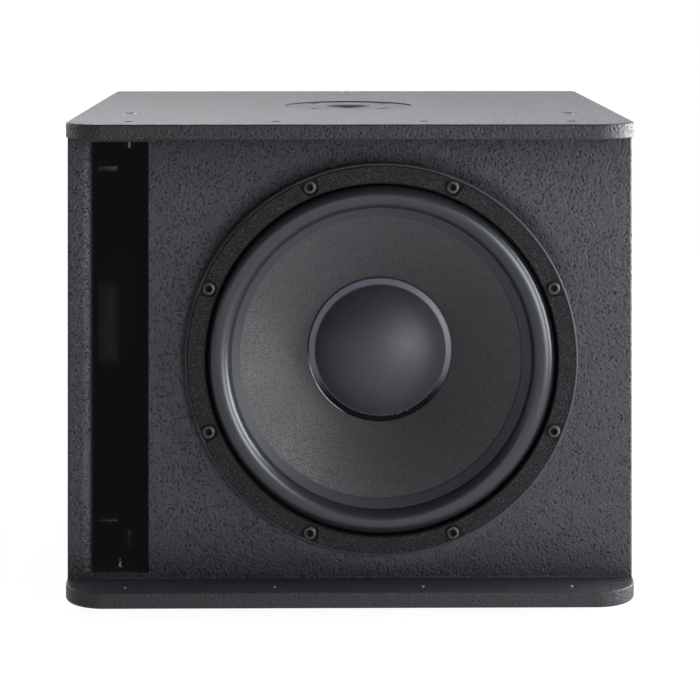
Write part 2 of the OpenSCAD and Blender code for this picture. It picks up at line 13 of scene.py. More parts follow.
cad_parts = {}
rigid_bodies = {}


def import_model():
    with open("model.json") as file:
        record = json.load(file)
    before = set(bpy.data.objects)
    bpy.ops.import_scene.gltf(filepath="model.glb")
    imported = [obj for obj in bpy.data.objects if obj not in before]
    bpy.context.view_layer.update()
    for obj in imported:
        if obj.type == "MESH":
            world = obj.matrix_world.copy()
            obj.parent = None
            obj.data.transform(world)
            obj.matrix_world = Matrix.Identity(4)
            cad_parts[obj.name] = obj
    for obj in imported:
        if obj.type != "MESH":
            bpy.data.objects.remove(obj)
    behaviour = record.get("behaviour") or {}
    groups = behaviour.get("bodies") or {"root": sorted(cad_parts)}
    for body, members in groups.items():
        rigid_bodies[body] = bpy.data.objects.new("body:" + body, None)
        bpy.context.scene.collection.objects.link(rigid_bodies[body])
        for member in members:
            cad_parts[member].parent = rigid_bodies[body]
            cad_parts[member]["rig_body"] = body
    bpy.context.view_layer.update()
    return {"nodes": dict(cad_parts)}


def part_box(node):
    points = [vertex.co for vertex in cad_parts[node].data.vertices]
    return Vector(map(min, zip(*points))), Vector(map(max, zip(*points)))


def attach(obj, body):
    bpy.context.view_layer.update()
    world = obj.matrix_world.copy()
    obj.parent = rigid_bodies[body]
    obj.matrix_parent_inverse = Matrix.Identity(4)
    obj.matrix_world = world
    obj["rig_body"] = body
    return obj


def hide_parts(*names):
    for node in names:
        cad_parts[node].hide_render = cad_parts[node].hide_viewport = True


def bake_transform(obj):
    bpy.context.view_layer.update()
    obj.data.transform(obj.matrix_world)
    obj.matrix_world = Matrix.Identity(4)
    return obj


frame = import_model()

MM = 0.001
TURN = 2 * math.pi
UP = Vector((0, 0, 1))
DOWN = Vector((0, 0, -1))


# ---------------------------------------------------------------- shapes

class Shell:
    """Points and faces of closed surfaces, in millimetres."""

    def __init__(self, points=(), faces=()):
        self.points = list(points)
        self.faces = list(faces)

    def moved(self, matrix):
        return Shell([matrix @ p for p in self.points], self.faces)

    def __add__(self, other):
        shift = len(self.points)
        more = [[i + shift for i in face] for face in other.faces]
        return Shell(self.points + other.points, self.faces + more)


def joined(shells):
    return sum(shells, Shell())


def skin(rings, closed=False):
    """Faces between rings of equal length. A ring of one point is a tip. Open ends are capped."""
    points, index = [], []
    for ring in rings:
        index.append(range(len(points), len(points) + len(ring)))
        points += [Vector(p) for p in ring]
    pairs = list(zip(index, index[1:]))
    if closed:
        pairs.append((index[-1], index[0]))
    faces = []
    for a, b in pairs:
        count = max(len(a), len(b))
        for i in range(count if count > 1 else 0):
            j = (i + 1) % count
            corners = [a[i % len(a)], a[j % len(a)], b[j % len(b)], b[i % len(b)]]
            faces.append(list(dict.fromkeys(corners)))
    if not closed:
        faces += [list(index[k]) for k in (0, -1) if len(index[k]) > 1]
    return Shell(points, faces)


def rounded(corners, radius, steps=5):
    """A closed outline with its corners turned into arcs. A third number is a corner's own radius."""
    outline = []
    for i, (x, y, *own) in enumerate(corners):
        here = Vector((x, y))
        back = Vector(corners[i - 1][:2]) - here
        ahead = Vector(corners[(i + 1) % len(corners)][:2]) - here
        half = back.angle(ahead) / 2
        wanted = own[0] if own else radius
        if wanted == 0 or half > 1.56:
            outline.append(here)
            continue
        reach = min(wanted / math.tan(half), 0.49 * back.length, 0.49 * ahead.length)
        r = reach * math.tan(half)
        inward = (back.normalized() + ahead.normalized()).normalized()
        centre = here + inward * (r / math.sin(half))
        start = here + back.normalized() * reach - centre
        stop = here + ahead.normalized() * reach - centre
        sweep = -start.angle_signed(stop)
        first = math.atan2(start.y, start.x)
        for k in range(steps + 1):
            a = first + sweep * k / steps
            outline.append(centre + r * Vector((math.cos(a), math.sin(a))))
    return outline


def rectangle(width, height, radius=0.0, steps=8):
    x, y = width / 2, height / 2
    return rounded([(-x, -y), (x, -y), (x, y), (-x, y)], radius, steps)


def at_height(outline, z):
    return [(p[0], p[1], z) for p in outline]


def lathe(profile, steps=96):
    """Turns (radius, height) points about +Z. A third number makes that ring six-lobed."""
    rings = []
    for r, h, *lobe in profile:
        wave = lobe[0] if lobe else 0
        angles = [TURN * k / steps for k in range(steps)] if r > 1e-6 else [0]
        rings.append([((r + wave * math.cos(6 * a)) * math.cos(a),
                       (r + wave * math.cos(6 * a)) * math.sin(a), h) for a in angles])
    return skin(rings, closed=profile[0][0] > 1e-6)


def turned(corners, radius=0.4, steps=96, arc=4):
    """A lathe shape with soft corners. Corners on the axis stay sharp."""
    soft = [(c[0], c[1], 0) if c[0] == 0 else c for c in corners]
    return lathe(rounded(soft, radius, arc), steps)


def board(outline, bottom, top, soft_bottom=0.3, soft_top=0.3, steps=5):
    """A flat board with rounded edges. Each softness is a radius or a function of an outline point."""
    count = len(outline)
    inward = []
    for i in range(count):
        along = (Vector(outline[(i + 1) % count]) - Vector(outline[i - 1])).normalized()
        inward.append(Vector((-along.y, along.x)))
    rings = []
    for edge, height, sign in ((soft_bottom, bottom, 1), (soft_top, top, -1)):
        for k in range(steps + 1):
            a = math.pi / 2 * (k if sign > 0 else steps - k) / steps
            ring = []
            for p, n in zip(outline, inward):
                r = edge(p) if callable(edge) else edge
                q = Vector(p) + n * r * (1 - math.sin(a))
                ring.append((q.x, q.y, height + sign * r * (1 - math.cos(a))))
            rings.append(ring)
    return skin(rings)


def smooth_path(points, steps=8):
    """Points along a Catmull-Rom curve through the given points."""
    pts = [Vector(p) for p in points]
    pts = [2 * pts[0] - pts[1]] + pts + [2 * pts[-1] - pts[-2]]
    path = []
    for a, b, c, d in zip(pts, pts[1:], pts[2:], pts[3:]):
        for k in range(steps):
            t = k / steps
            path.append(0.5 * (2 * b + (c - a) * t + (2 * a - 5 * b + 4 * c - d) * t * t
                               + (3 * b - a - 3 * c + d) * t ** 3))
    return path + [pts[-2]]


def tube(path, radius, steps=14):
    """A round wire along a path. radius is a number or a function of the place along it, 0 to 1."""
    side = None
    rings = []
    for i, p in enumerate(path):
        along = (path[min(i + 1, len(path) - 1)] - path[max(i - 1, 0)]).normalized()
        side = along.orthogonal() if side is None else side - along * side.dot(along)
        side.normalize()
        other = along.cross(side)
        r = radius(i / (len(path) - 1)) if callable(radius) else radius
        angles = [TURN * k / steps for k in range(steps)]
        rings.append([p + r * (side * math.cos(a) + other * math.sin(a)) for a in angles])
    return skin(rings)


def plain_object(shell, name="temporary"):
    mesh = bpy.data.meshes.new(name)
    mesh.from_pydata([tuple(p) for p in shell.points], [], shell.faces)
    work = bmesh.new()
    work.from_mesh(mesh)
    bmesh.ops.recalc_face_normals(work, faces=work.faces)
    work.to_mesh(mesh)
    work.free()
    thing = bpy.data.objects.new(name, mesh)
    bpy.context.scene.collection.objects.link(thing)
    return thing


def carved(shell, *cutters):
    """The shell with each cutter taken away from it."""
    things = [plain_object(s) for s in (shell, *cutters)]
    for cutter in things[1:]:
        cut = things[0].modifiers.new("cut", "BOOLEAN")
        cut.operation = "DIFFERENCE"
        cut.solver = "EXACT"
        cut.object = cutter
    bpy.context.view_layer.update()
    graph = bpy.context.evaluated_depsgraph_get()
    mesh = bpy.data.meshes.new_from_object(things[0].evaluated_get(graph))
    result = Shell([v.co.copy() for v in mesh.vertices], [list(f.vertices) for f in mesh.polygons])
    for thing in things:
        bpy.data.objects.remove(thing)
    bpy.data.meshes.remove(mesh)
    return result


def piece(name, shell, material, nodes=(), body="cabinet", crease=32):
    """Makes a shell into an object that rides on a body and stands for CAD nodes."""
    thing = plain_object(Shell([p * MM for p in shell.points], shell.faces), name)
    mesh = thing.data
    mesh.polygons.foreach_set("use_smooth", [True] * len(mesh.polygons))
    mesh.set_sharp_from_angle(angle=math.radians(crease))
    mesh.materials.append(material)
    normals = thing.modifiers.new("flat faces stay flat", "WEIGHTED_NORMAL")
    normals.keep_sharp = True
    if body:
        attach(thing, body)
    if nodes:
        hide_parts(*nodes)
    return thing


def turned_to(direction):
    """The turn that takes +Z to a direction."""
    return UP.rotation_difference(Vector(direction)).to_matrix().to_4x4()


def put(shell, x, y, z, direction=UP):
    return shell.moved(Matrix.Translation((x, y, z)) @ turned_to(direction))


def flipped(shell, z):
    """The shell turned over about X, with its zero moved to a height."""
    return shell.moved(Matrix.Translation((0, 0, z)) @ Matrix.Rotation(math.pi, 4, "X"))


def at_corners(shell, x, y, z, middle=0, direction=UP):
    """Copies at the corners of a rectangle whose middle is (0, middle)."""
    return [put(shell, s * x, middle + t * y, z, direction) for s in (-1, 1) for t in (-1, 1)]


def pin(radius, start, end, steps=24):
    """A plain round bar along Z."""
    return turned([(0, start), (radius, start), (radius, end), (0, end)], 0, steps)


# ---------------------------------------------------------------- places, from the frame

def box(node):
    low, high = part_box(node)
    return low / MM, high / MM


def half_width(node):
    return (box(node)[1].x - box(node)[0].x) / 2


TOP_LOW, TOP_HIGH = box("top_panel")
FLOOR_LOW, FLOOR_HIGH = box("bottom_panel")
FACE_LOW, FACE_HIGH = box("front_baffle")
SIDE_X, REAR_Y, TOP_Z = TOP_HIGH
FRONT_Y, IN_TOP = TOP_LOW.y, TOP_LOW.z
BASE_Z, IN_BOTTOM = FLOOR_LOW.z, FLOOR_HIGH.z
BAFFLE_Y, IN_FRONT = FACE_LOW.y, FACE_HIGH.y
IN_X = box("right_side_panel")[0].x
IN_REAR = box("rear_panel")[0].y
WALL_LOW, WALL_HIGH = box("port_wall")
GASKET_LOW, GASKET_HIGH = box("front_gasket")
DRIVER_X = (GASKET_LOW.x + GASKET_HIGH.x) / 2
DRIVER_Z = (GASKET_LOW.z + GASKET_HIGH.z) / 2
GASKET_Y = GASKET_LOW.y
GASKET_T = 2.5
FLANGE_R = half_width("driver_basket")
BOLT_HEAD_R = 6.0
BOLT_HALF = half_width("driver_bolts") - BOLT_HEAD_R
BOLT_ANGLES = [math.radians(22.5 + 45 * k) for k in range(8)]
BOLT_R = BOLT_HALF / math.cos(BOLT_ANGLES[0])
POLE = (box("pole_flange")[0] + box("pole_flange")[1]) / 2
POLE_R = half_width("pole_flange")
POLE_TOP = box("pole_flange")[1].z
POLE_SCREW = box("pole_flange_screws")[1].x - 7.15
FOOT_X = box("rubber_feet")[1].x - 19
FOOT_Y = box("rubber_feet")[1].y - 19
LEDGE_Y = (box("ledge_inserts")[0].y + box("ledge_inserts")[1].y) / 2
HOLE_X = (box("ledge_inserts")[1].x - 3.9) / 1.5
GRILLE_Y = FRONT_Y + 41.6
INSERT_X = SIDE_X - 52
INSERT_Y = FRONT_Y + 157.5
REAR_INSERT_Y = REAR_Y - 23
SIDE_INSERT_Y = FRONT_Y + 194
SIDE_INSERT_Z = (BASE_Z + 36, TOP_Z - 60)
CUP = (box("handle_cup_right")[0] + box("handle_cup_right")[1]) / 2
PLATE_LOW, PLATE_HIGH = box("connector_plate")
PLATE = (PLATE_LOW + PLATE_HIGH) / 2
PLATE_W = PLATE_HIGH.x - PLATE_LOW.x
PLATE_H = PLATE_HIGH.z - PLATE_LOW.z
SOCKET_W = 26
SOCKET_X = half_width("speaker_connectors") - SOCKET_W / 2

SLOT_W = 57.1
SLOT_LIP = 6
SLOT_ROUND = 9
SOFT_EDGE = 3.0

# Local +Z runs into the cabinet along the driver's axis, from the front of its gasket.
DRIVER = Matrix.Translation((DRIVER_X, GASKET_Y, DRIVER_Z)) @ Matrix.Rotation(-math.pi / 2, 4, "X")
CONE_TOP = 16
CONE_R = 141
COIL_R = 50
CONE_SLOPE = math.tan(math.radians(32.5))


def cone_at(r):
    """Depth of the cone's straight slope at a radius."""
    return CONE_TOP + (CONE_R - r) * CONE_SLOPE


CONE_NECK = cone_at(COIL_R)
CAP_R = half_width("dust_cap")
CAP_DEPTH = cone_at(CAP_R)
DOME_FOOT = CAP_DEPTH - 3.5
DOME_R = 66.5
DOME_H = 30
ROLL_R = 174.4
ROLL_W = 24
ROLL_FOOT = 11

# Local +Z points out of the rear, from the middle of the connector plate's outer face.
ON_PLATE = Matrix.Translation((PLATE.x, PLATE_HIGH.y, PLATE.z)) @ Matrix.Rotation(-math.pi / 2, 4, "X")


def on_side(side):
    """Local +Z points out of that side of the cabinet, from the middle of the handle."""
    return Matrix.Translation((side * SIDE_X, CUP.y, CUP.z)) @ Matrix.Rotation(side * math.pi / 2, 4, "Y")


def around(shell, angles, radius):
    return joined(shell.moved(Matrix.Rotation(a, 4, "Z") @ Matrix.Translation((radius, 0, 0)))
                  for a in angles)


def in_row(shell, y, z):
    """Copies across the width, where the grille is fastened."""
    return [put(shell, k * HOLE_X, y, z) for k in (-1.5, -0.5, 0.5, 1.5)]


def insert_places():
    """(x, y, z, direction) of each M10 insert."""
    places = []
    for s in (-1, 1):
        places.append((s * INSERT_X, INSERT_Y, TOP_Z, (0, 0, 1)))
        places.append((s * INSERT_X, INSERT_Y, BASE_Z, (0, 0, -1)))
        places += [(s * SIDE_X, SIDE_INSERT_Y, z, (s, 0, 0)) for z in SIDE_INSERT_Z]
    places.append((0, REAR_INSERT_Y, TOP_Z, (0, 0, 1)))
    places.append((0, REAR_INSERT_Y, BASE_Z, (0, 0, -1)))
    return places


# ---------------------------------------------------------------- materials

def add_node(tree, kind, inputs=None, **settings):
    """A shader node. An input is a value or another node's output socket."""
    made = tree.nodes.new("ShaderNode" + kind)
    for key, value in settings.items():
        setattr(made, key, value)
    for key, value in (inputs or {}).items():
        if isinstance(value, bpy.types.NodeSocket):
            tree.links.new(value, made.inputs[key])
        else:
            made.inputs[key].default_value = value
    return made


class Paint:
    """A node material. Its methods add nodes and return their output sockets."""

    def __init__(self, name):
        self.material = bpy.data.materials.new(name)
        self.material.use_nodes = True
        self.tree = self.material.node_tree
        self.surface = self.tree.nodes["Principled BSDF"]
        self.place = self.node("TexCoord").outputs["Object"]

    def node(self, kind, inputs=None, **settings):
        return add_node(self.tree, kind, inputs, **settings)

    def math(self, operation, a, b=0.0):
        return self.node("Math", {0: a, 1: b}, operation=operation).outputs[0]

    def times(self, a, b):
        return self.math("MULTIPLY", a, b)

    def plus(self, a, b):
        return self.math("ADD", a, b)

    def length(self, a, b):
        return self.math("SQRT", self.plus(self.times(a, a), self.times(b, b)))

    def noise(self, scale, detail=2.0, distortion=0.0, roughness=0.5, where=None):
        """Noise from 0 to 1. scale is in waves per metre."""
        made = self.node("TexNoise", {"Vector": where or self.place, "Scale": scale, "Detail": detail,
                                      "Roughness": roughness, "Distortion": distortion})
        return made.outputs[0]

    def cells(self, scale, where=None):
        """Distance to the nearest of many scattered points, from 0 up."""
        return self.node("TexVoronoi", {"Vector": where or self.place, "Scale": scale}).outputs["Distance"]

    def stretch(self, x, y, z):
        return self.node("Mapping", {"Vector": self.place, "Scale": (x, y, z)}).outputs[0]

    def ramp(self, value, low, high, out_low=0.0, out_high=1.0, smooth=True):
        kind = "SMOOTHSTEP" if smooth else "LINEAR"
        made = self.node("MapRange", {"Value": value, "From Min": low, "From Max": high,
                                      "To Min": out_low, "To Max": out_high}, interpolation_type=kind)
        return made.outputs[0]

    def mix(self, share, a, b):
        made = self.node("Mix", {0: share}, data_type="RGBA")
        for key, value in ((6, a), (7, b)):
            if isinstance(value, bpy.types.NodeSocket):
                self.tree.links.new(value, made.inputs[key])
            else:
                made.inputs[key].default_value = (*value, 1)
        return made.outputs[2]

    def axis(self, number):
        return self.node("SeparateXYZ", {0: self.place}).outputs[number]

    def from_axis(self):
        """Distances to the right of the driver's axis and above it, in metres."""
        return [self.math("SUBTRACT", self.axis(number), middle * MM)
                for number, middle in ((0, DRIVER_X), (2, DRIVER_Z))]

    def radius(self):
        """Distance from the driver's axis, in metres."""
        return self.length(*self.from_axis())

    def ring(self, start, end, first=0.0, last=1.0):
        """Changes from one value to another between two radii in millimetres."""
        return self.ramp(self.radius(), start * MM, end * MM, first, last)

    def bump(self, height, distance):
        """Relief. distance is the depth in millimetres of a height of 1."""
        self.set("Normal", self.node("Bump", {"Height": height, "Distance": distance * MM}).outputs[0])

    def colour(self, value):
        self.set("Base Color", value)

    def set(self, key, value):
        if isinstance(value, bpy.types.NodeSocket):
            self.tree.links.new(value, self.surface.inputs[key])
        elif isinstance(value, tuple):
            self.surface.inputs[key].default_value = (*value, 1)
        else:
            self.surface.inputs[key].default_value = value


def inside_cabinet(p):
    """1 on the surfaces inside the box and the port, 0 on its outside."""
    depth = SIDE_X - IN_X
    inside = p.ramp(p.axis(1), (BAFFLE_Y + 2.5) * MM, (BAFFLE_Y + SLOT_ROUND + 1) * MM)
    for number, low, high in ((0, -SIDE_X, SIDE_X), (2, BASE_Z, TOP_Z)):
        above = p.math("GREATER_THAN", p.axis(number), (low + depth - 0.5) * MM)
        below = p.math("LESS_THAN", p.axis(number), (high - depth + 0.5) * MM)
        inside = p.times(inside, p.times(above, below))
    return p.times(inside, p.math("LESS_THAN", p.axis(1), (REAR_Y - depth + 0.5) * MM))


def structured_paint():
    """Thick black paint: lumps and small pits, calmer on the overhangs and flat black in the port, with
    painted shade and painted light in its colour.
    """
    p = Paint("structured_paint")
    inside = inside_cabinet(p)
    overhang = p.ramp(p.axis(1), (BAFFLE_Y - 4) * MM, (BAFFLE_Y - 2) * MM, 1, 0)
    up = p.node("SeparateXYZ", {0: p.node("TexCoord").outputs["Normal"]}).outputs[2]
    level = p.ramp(up, 0.7, 0.95)
    base = p.ramp(p.axis(2), (BASE_Z + 40) * MM, (BASE_Z + 60) * MM, 0.65, 0.05)
    calm = p.math("MAXIMUM", p.times(overhang, base), p.times(level, 0.55))
    lumps = p.ramp(p.noise(310, 4, 0.1), 0.25, 0.75, smooth=False)
    drift = p.node("VectorMath", {0: p.node("TexNoise", {"Vector": p.place, "Scale": 420}).outputs[1],
                                  1: (0.0022, 0.0022, 0.0022)}, operation="MULTIPLY").outputs[0]
    bent = p.node("VectorMath", {0: p.place, 1: drift}).outputs[0]
    wide = p.math("MAXIMUM", p.ramp(p.cells(215, where=bent), 0.14, 0.36), p.ramp(p.noise(80, 2), 0.5, 0.62))
    fine = p.math("MAXIMUM", p.ramp(p.cells(370, where=bent), 0.12, 0.36), p.ramp(p.noise(120, 2), 0.5, 0.6))
    pits = p.times(wide, fine)
    specks = p.ramp(p.cells(300, where=p.stretch(1.07, 1, 1)), 0.17, 0.05)
    grain = p.noise(1000, 3, 0.0, 0.65)
    height = p.plus(p.times(lumps, 0.8), p.times(pits, 1.0))
    height = p.plus(height, p.times(specks, 0.8))
    height = p.plus(height, p.times(grain, 0.45))
    p.bump(p.times(height, p.ramp(calm, 0, 1, 1, 0, smooth=False)), 0.8)
    tint = p.mix(p.noise(45, 3), (0.033, 0.034, 0.043), (0.042, 0.043, 0.054))
    # Painted shade: the paint's colour is darker between its lumps and in its pits.
    tint = p.mix(p.ramp(lumps, 0.2, 0.8, 0.32, 0.0, smooth=False), tint, (0.012, 0.012, 0.016))
    tint = p.mix(pits, (0.010, 0.010, 0.013), tint)
    # Painted shade: the overhangs' front faces get darker paint than the baffle.
    tint = p.mix(p.times(overhang, 0.7), tint, (0.009, 0.009, 0.012))
    # Painted light: faces that look up, such as the ledge, get lighter paint.
    tint = p.mix(p.times(level, 0.8), tint, (0.075, 0.072, 0.088))
    # Painted shade: ambient occlusion darkens the colour and lowers the specular in corners, recesses and
    # under the overhangs.
    open_sky = p.node("AmbientOcclusion", {"Distance": 70 * MM}, samples=3).outputs["AO"]
    shade = p.ramp(open_sky, 0.3, 0.95, 0.3, 1.0, smooth=False)
    # Painted shadow: on the baffle next to the driver's flange the occlusion shade is replaced by one that
    # darkens upwards, a soft shadow above the flange.
    beside = p.times(p.ring(215, 198),
                    p.ramp(p.axis(1), (BAFFLE_Y + 6) * MM, (BAFFLE_Y + 3) * MM))
    above = p.ramp(p.axis(2), (DRIVER_Z + 30) * MM, (DRIVER_Z + 150) * MM, 1.0, 0.4)
    shade = p.plus(p.times(shade, p.ramp(beside, 0, 1, 1, 0, smooth=False)),
                   p.times(above, beside))
    # The painted shade is laid into the colour here.
    tint = p.mix(shade, (0.002, 0.002, 0.003), tint)
    p.colour(p.mix(inside, tint, (0.006, 0.006, 0.0062)))
    gloss = p.ramp(p.noise(700, 2), 0.3, 0.7, 0.35, 0.52)
    rearward = p.ramp(p.axis(1), FRONT_Y * MM, REAR_Y * MM, 0.0, 0.055, smooth=False)
    gloss = p.plus(gloss, p.times(level, rearward))
    p.set("Roughness", p.math("MAXIMUM", gloss, p.times(inside, 0.85)))
    p.set("Specular IOR Level", p.times(shade, p.ramp(inside, 0, 1, 0.5, 0.12)))
    faint_glow(p, p.ramp(inside, 0, 1, 0, 0.0045))
    return p.material


def faint_glow(p, strength, tint=(1, 1, 1)):
    """Stands for the light that many bounces leave on what can be seen deep in the port."""
    p.set("Emission Color", tint)
    p.set("Emission Strength", strength)


def flat_black():
    p = Paint("flat_black_wood")
    grain = p.noise(60, 5, 0.5, 0.6, p.stretch(1, 14, 1))
    p.colour(p.mix(grain, (0.003, 0.003, 0.0032), (0.0048, 0.0048, 0.005)))
    p.set("Roughness", p.ramp(p.noise(300), 0.2, 0.8, 0.75, 0.95))
    p.set("Specular IOR Level", 0.15)
    p.bump(p.plus(grain, p.noise(900, 3)), 0.12)
    faint_glow(p, p.ramp(grain, 0.2, 0.8, 0.004, 0.005))
    return p.material


def birch():
    p = Paint("bare_birch")
    layers = p.math("FRACT", p.times(p.axis(1), 1 / (2.8 * MM)))
    figure = p.noise(22, 6, 1.4, 0.6, p.stretch(1, 1, 9))
    wood = p.mix(figure, (0.42, 0.27, 0.14), (0.66, 0.48, 0.29))
    p.colour(p.mix(p.ramp(layers, 0.42, 0.58, 0, 0.25), wood, (0.25, 0.14, 0.07)))
    p.set("Roughness", p.ramp(figure, 0.2, 0.8, 0.5, 0.72))
    p.bump(p.noise(240, 5, 0.4, 0.6, p.stretch(1, 1, 0.1)), 0.1)
    return p.material


def grainy(name, dark, light, rough, scale, relief, metallic=0.0, specular=0.5, wear=0.0, glow=None):
    """A cast, moulded or coated finish: fine grain, uneven gloss and a little tone variation."""
    p = Paint(name)
    tone = p.noise(scale * 0.06, 4)
    tint = p.mix(tone, dark, light)
    if wear:
        edge = p.node("Bevel", {"Radius": 0.6 * MM}, samples=4).outputs[0]
        facing = p.node("VectorMath", {0: edge, 1: p.node("NewGeometry").outputs["Normal"]},
                        operation="DOT_PRODUCT").outputs["Value"]
        worn = p.times(p.ramp(facing, 0.985, 0.8), p.ramp(p.noise(600, 4), 0.45, 0.7, 0, wear))
        tint = p.mix(worn, tint, (0.32, 0.31, 0.3))
    p.colour(tint)
    p.set("Metallic", metallic)
    p.set("Specular IOR Level", specular)
    p.set("Roughness", p.ramp(p.noise(scale * 0.4, 3), 0.25, 0.75, rough[0], rough[1]))
    p.bump(p.noise(scale, 4, 0.2, 0.6), relief)
    if glow:
        faint_glow(p, 0.0045, glow)
    return p.material


def brushed(name, dark, light, rough, squash=(1, 1, 24), glow=None):
    """Turned or plated metal with fine streaks."""
    p = Paint(name)
    streaks = p.noise(160, 5, 0.0, 0.65, p.stretch(*squash))
    p.colour(p.mix(p.noise(60, 4), dark, light))
    p.set("Metallic", 1.0)
    p.set("Roughness", p.ramp(streaks, 0.25, 0.75, rough[0], rough[1]))
    p.bump(streaks, 0.03)
    if glow:
        faint_glow(p, 0.0045, glow)
    return p.material


def cast_basket():
    """Painted casting, grey on the flange's rim. Inside the rim its colour is nearly black and its specular
    low: painted shade, seen in the gasket's bolt notches.
    """
    p = Paint("cast_basket")
    # Painted shade: nearly black, with low specular, inside the rim's radius.
    rim = p.ring(193.3, 193.7)
    tint = p.mix(p.noise(60, 4), (0.026, 0.026, 0.032), (0.042, 0.042, 0.051))
    p.colour(p.mix(rim, (0.0045, 0.0045, 0.005), tint))
    p.set("Roughness", p.ramp(p.noise(300, 3), 0.25, 0.75, 0.46, 0.62))
    p.set("Specular IOR Level", p.ramp(rim, 0, 1, 0.2, 0.5))
    p.bump(p.noise(800, 4, 0.2, 0.6), 0.12)
    return p.material


def bolt_steel():
    """Blackened steel, lighter on the outer part of each driver bolt's head."""
    p = Paint("bolt_steel")
    x, z = p.from_axis()
    turn = p.math("ARCTAN2", z, x)
    local = p.math("SUBTRACT", p.math("PINGPONG", turn, TURN / 16), TURN / 16)
    across = p.times(p.radius(), p.math("SINE", local))
    along = p.math("SUBTRACT", p.times(p.radius(), p.math("COSINE", local)), BOLT_R * MM)
    away = p.length(across, along)
    # A lighter tone on the outer part of each head, broken up by noise.
    worn = p.times(p.ramp(away, 3.6 * MM, 4.6 * MM), p.ramp(p.noise(900, 3), 0.3, 0.6, 0.35, 1))
    tint = p.mix(worn, (0.006, 0.006, 0.007), (0.075, 0.075, 0.082))
    p.colour(tint)
    p.set("Metallic", 0.2)
    p.set("Specular IOR Level", p.ramp(away, 2.7 * MM, 3.4 * MM, 0.08, 0.5))
    p.set("Roughness", p.ramp(p.noise(500, 3), 0.3, 0.7, 0.4, 0.56))
    p.bump(p.noise(1100, 3), 0.08)
    return p.material


def gasket_fibre():
    """Black pressed fibre, flecked with lighter fibres."""
    p = Paint("gasket_paper")
    clumps = p.noise(700, 3, 0.4, 0.6)
    specks = p.ramp(p.noise(950, 3, 0.3, 0.7), 0.53, 0.64)
    pores = p.ramp(p.noise(820, 2, 0.2), 0.38, 0.5)
    tint = p.mix(p.ramp(clumps, 0.38, 0.62), (0.003, 0.003, 0.0035), (0.018, 0.018, 0.021))
    tint = p.mix(specks, tint, (0.080, 0.076, 0.095))
    p.colour(p.mix(pores, (0.002, 0.002, 0.0025), tint))
    p.set("Roughness", p.ramp(clumps, 0.3, 0.7, 0.6, 0.85))
    p.set("Specular IOR Level", 0.25)
    p.bump(p.plus(clumps, p.plus(pores, specks)), 0.5)
    return p.material


def rubber_sheet():
    """Smooth butyl rubber of the surround: satin, with a faint skin texture. Its outer edge beside the gasket
    is painted near black: painted shadow.
    """
    p = Paint("surround_rubber")
    mottle = p.noise(35, 4)
    tint = p.mix(mottle, (0.011, 0.012, 0.015), (0.015, 0.016, 0.020))
    foot = p.ring(150.3, 150.1)
    tint = p.mix(foot, tint, (0.030, 0.030, 0.037))
    # Painted shadow: the roll's outer edge beside the gasket is near black with low specular.
    outer = p.ring(172.6, 174.2)
    p.colour(p.mix(outer, tint, (0.003, 0.003, 0.0035)))
    p.set("Roughness", p.ramp(foot, 0, 1, 0.31, 0.5))
    p.set("Specular IOR Level", p.times(p.ramp(outer, 0, 1, 1, 0.2), p.ramp(foot, 0, 1, 1, 0.5)))
    p.set("Specular Tint", (0.88, 0.93, 1.0))
    p.bump(p.noise(160, 2), 0.004)
    return p.material


def weave(p, period):
    """Height of a diagonal weave seen along the driver's axis, with uneven threads."""
    wobble = p.times(p.noise(180, 2), 0.5 * period)
    threads = []
    for sign in (-1, 1):
        diagonal = p.plus(p.axis(0), p.times(p.axis(2), sign))
        phase = p.times(p.plus(diagonal, wobble), TURN / (period * math.sqrt(2)))
        threads.append(p.math("SINE", phase))
    return p.times(p.plus(*threads), 0.5)


def cone_paper():
    """Coated long-fibre paper with a fine diagonal weave, painted lighter and warmer low on the left: painted
    light.
    """
    p = Paint("cone_paper")
    pressed = weave(p, 2.0 * MM)
    fibres = p.noise(620, 3, 0.4, 0.6)
    clouds = p.ramp(p.noise(16, 3), 0.35, 0.65)
    # Painted light: the colour is lighter and warmer towards the lower left.
    lit_low_left = p.ramp(p.plus(p.axis(0), p.times(p.axis(2), 0.5)), 0.09, 0.0)
    light = p.mix(lit_low_left, (0.060, 0.060, 0.067), (0.150, 0.146, 0.142))
    light = p.mix(p.times(clouds, 0.5), light, (0.066, 0.066, 0.071))
    tint = p.mix(p.ramp(fibres, 0.38, 0.62), (0.031, 0.031, 0.036), light)
    tint = p.mix(p.ramp(pressed, -0.5, 0.6, 0.42, 0.0), tint, (0.012, 0.012, 0.015))
    tint = p.mix(p.ramp(p.noise(560, 2), 0.62, 0.7), tint, (0.068, 0.068, 0.073))
    p.colour(tint)
    p.set("Roughness", p.ramp(fibres, 0.3, 0.7, 0.55, 0.68))
    p.bump(p.plus(p.times(pressed, 0.3), fibres), 0.13)
    return p.material


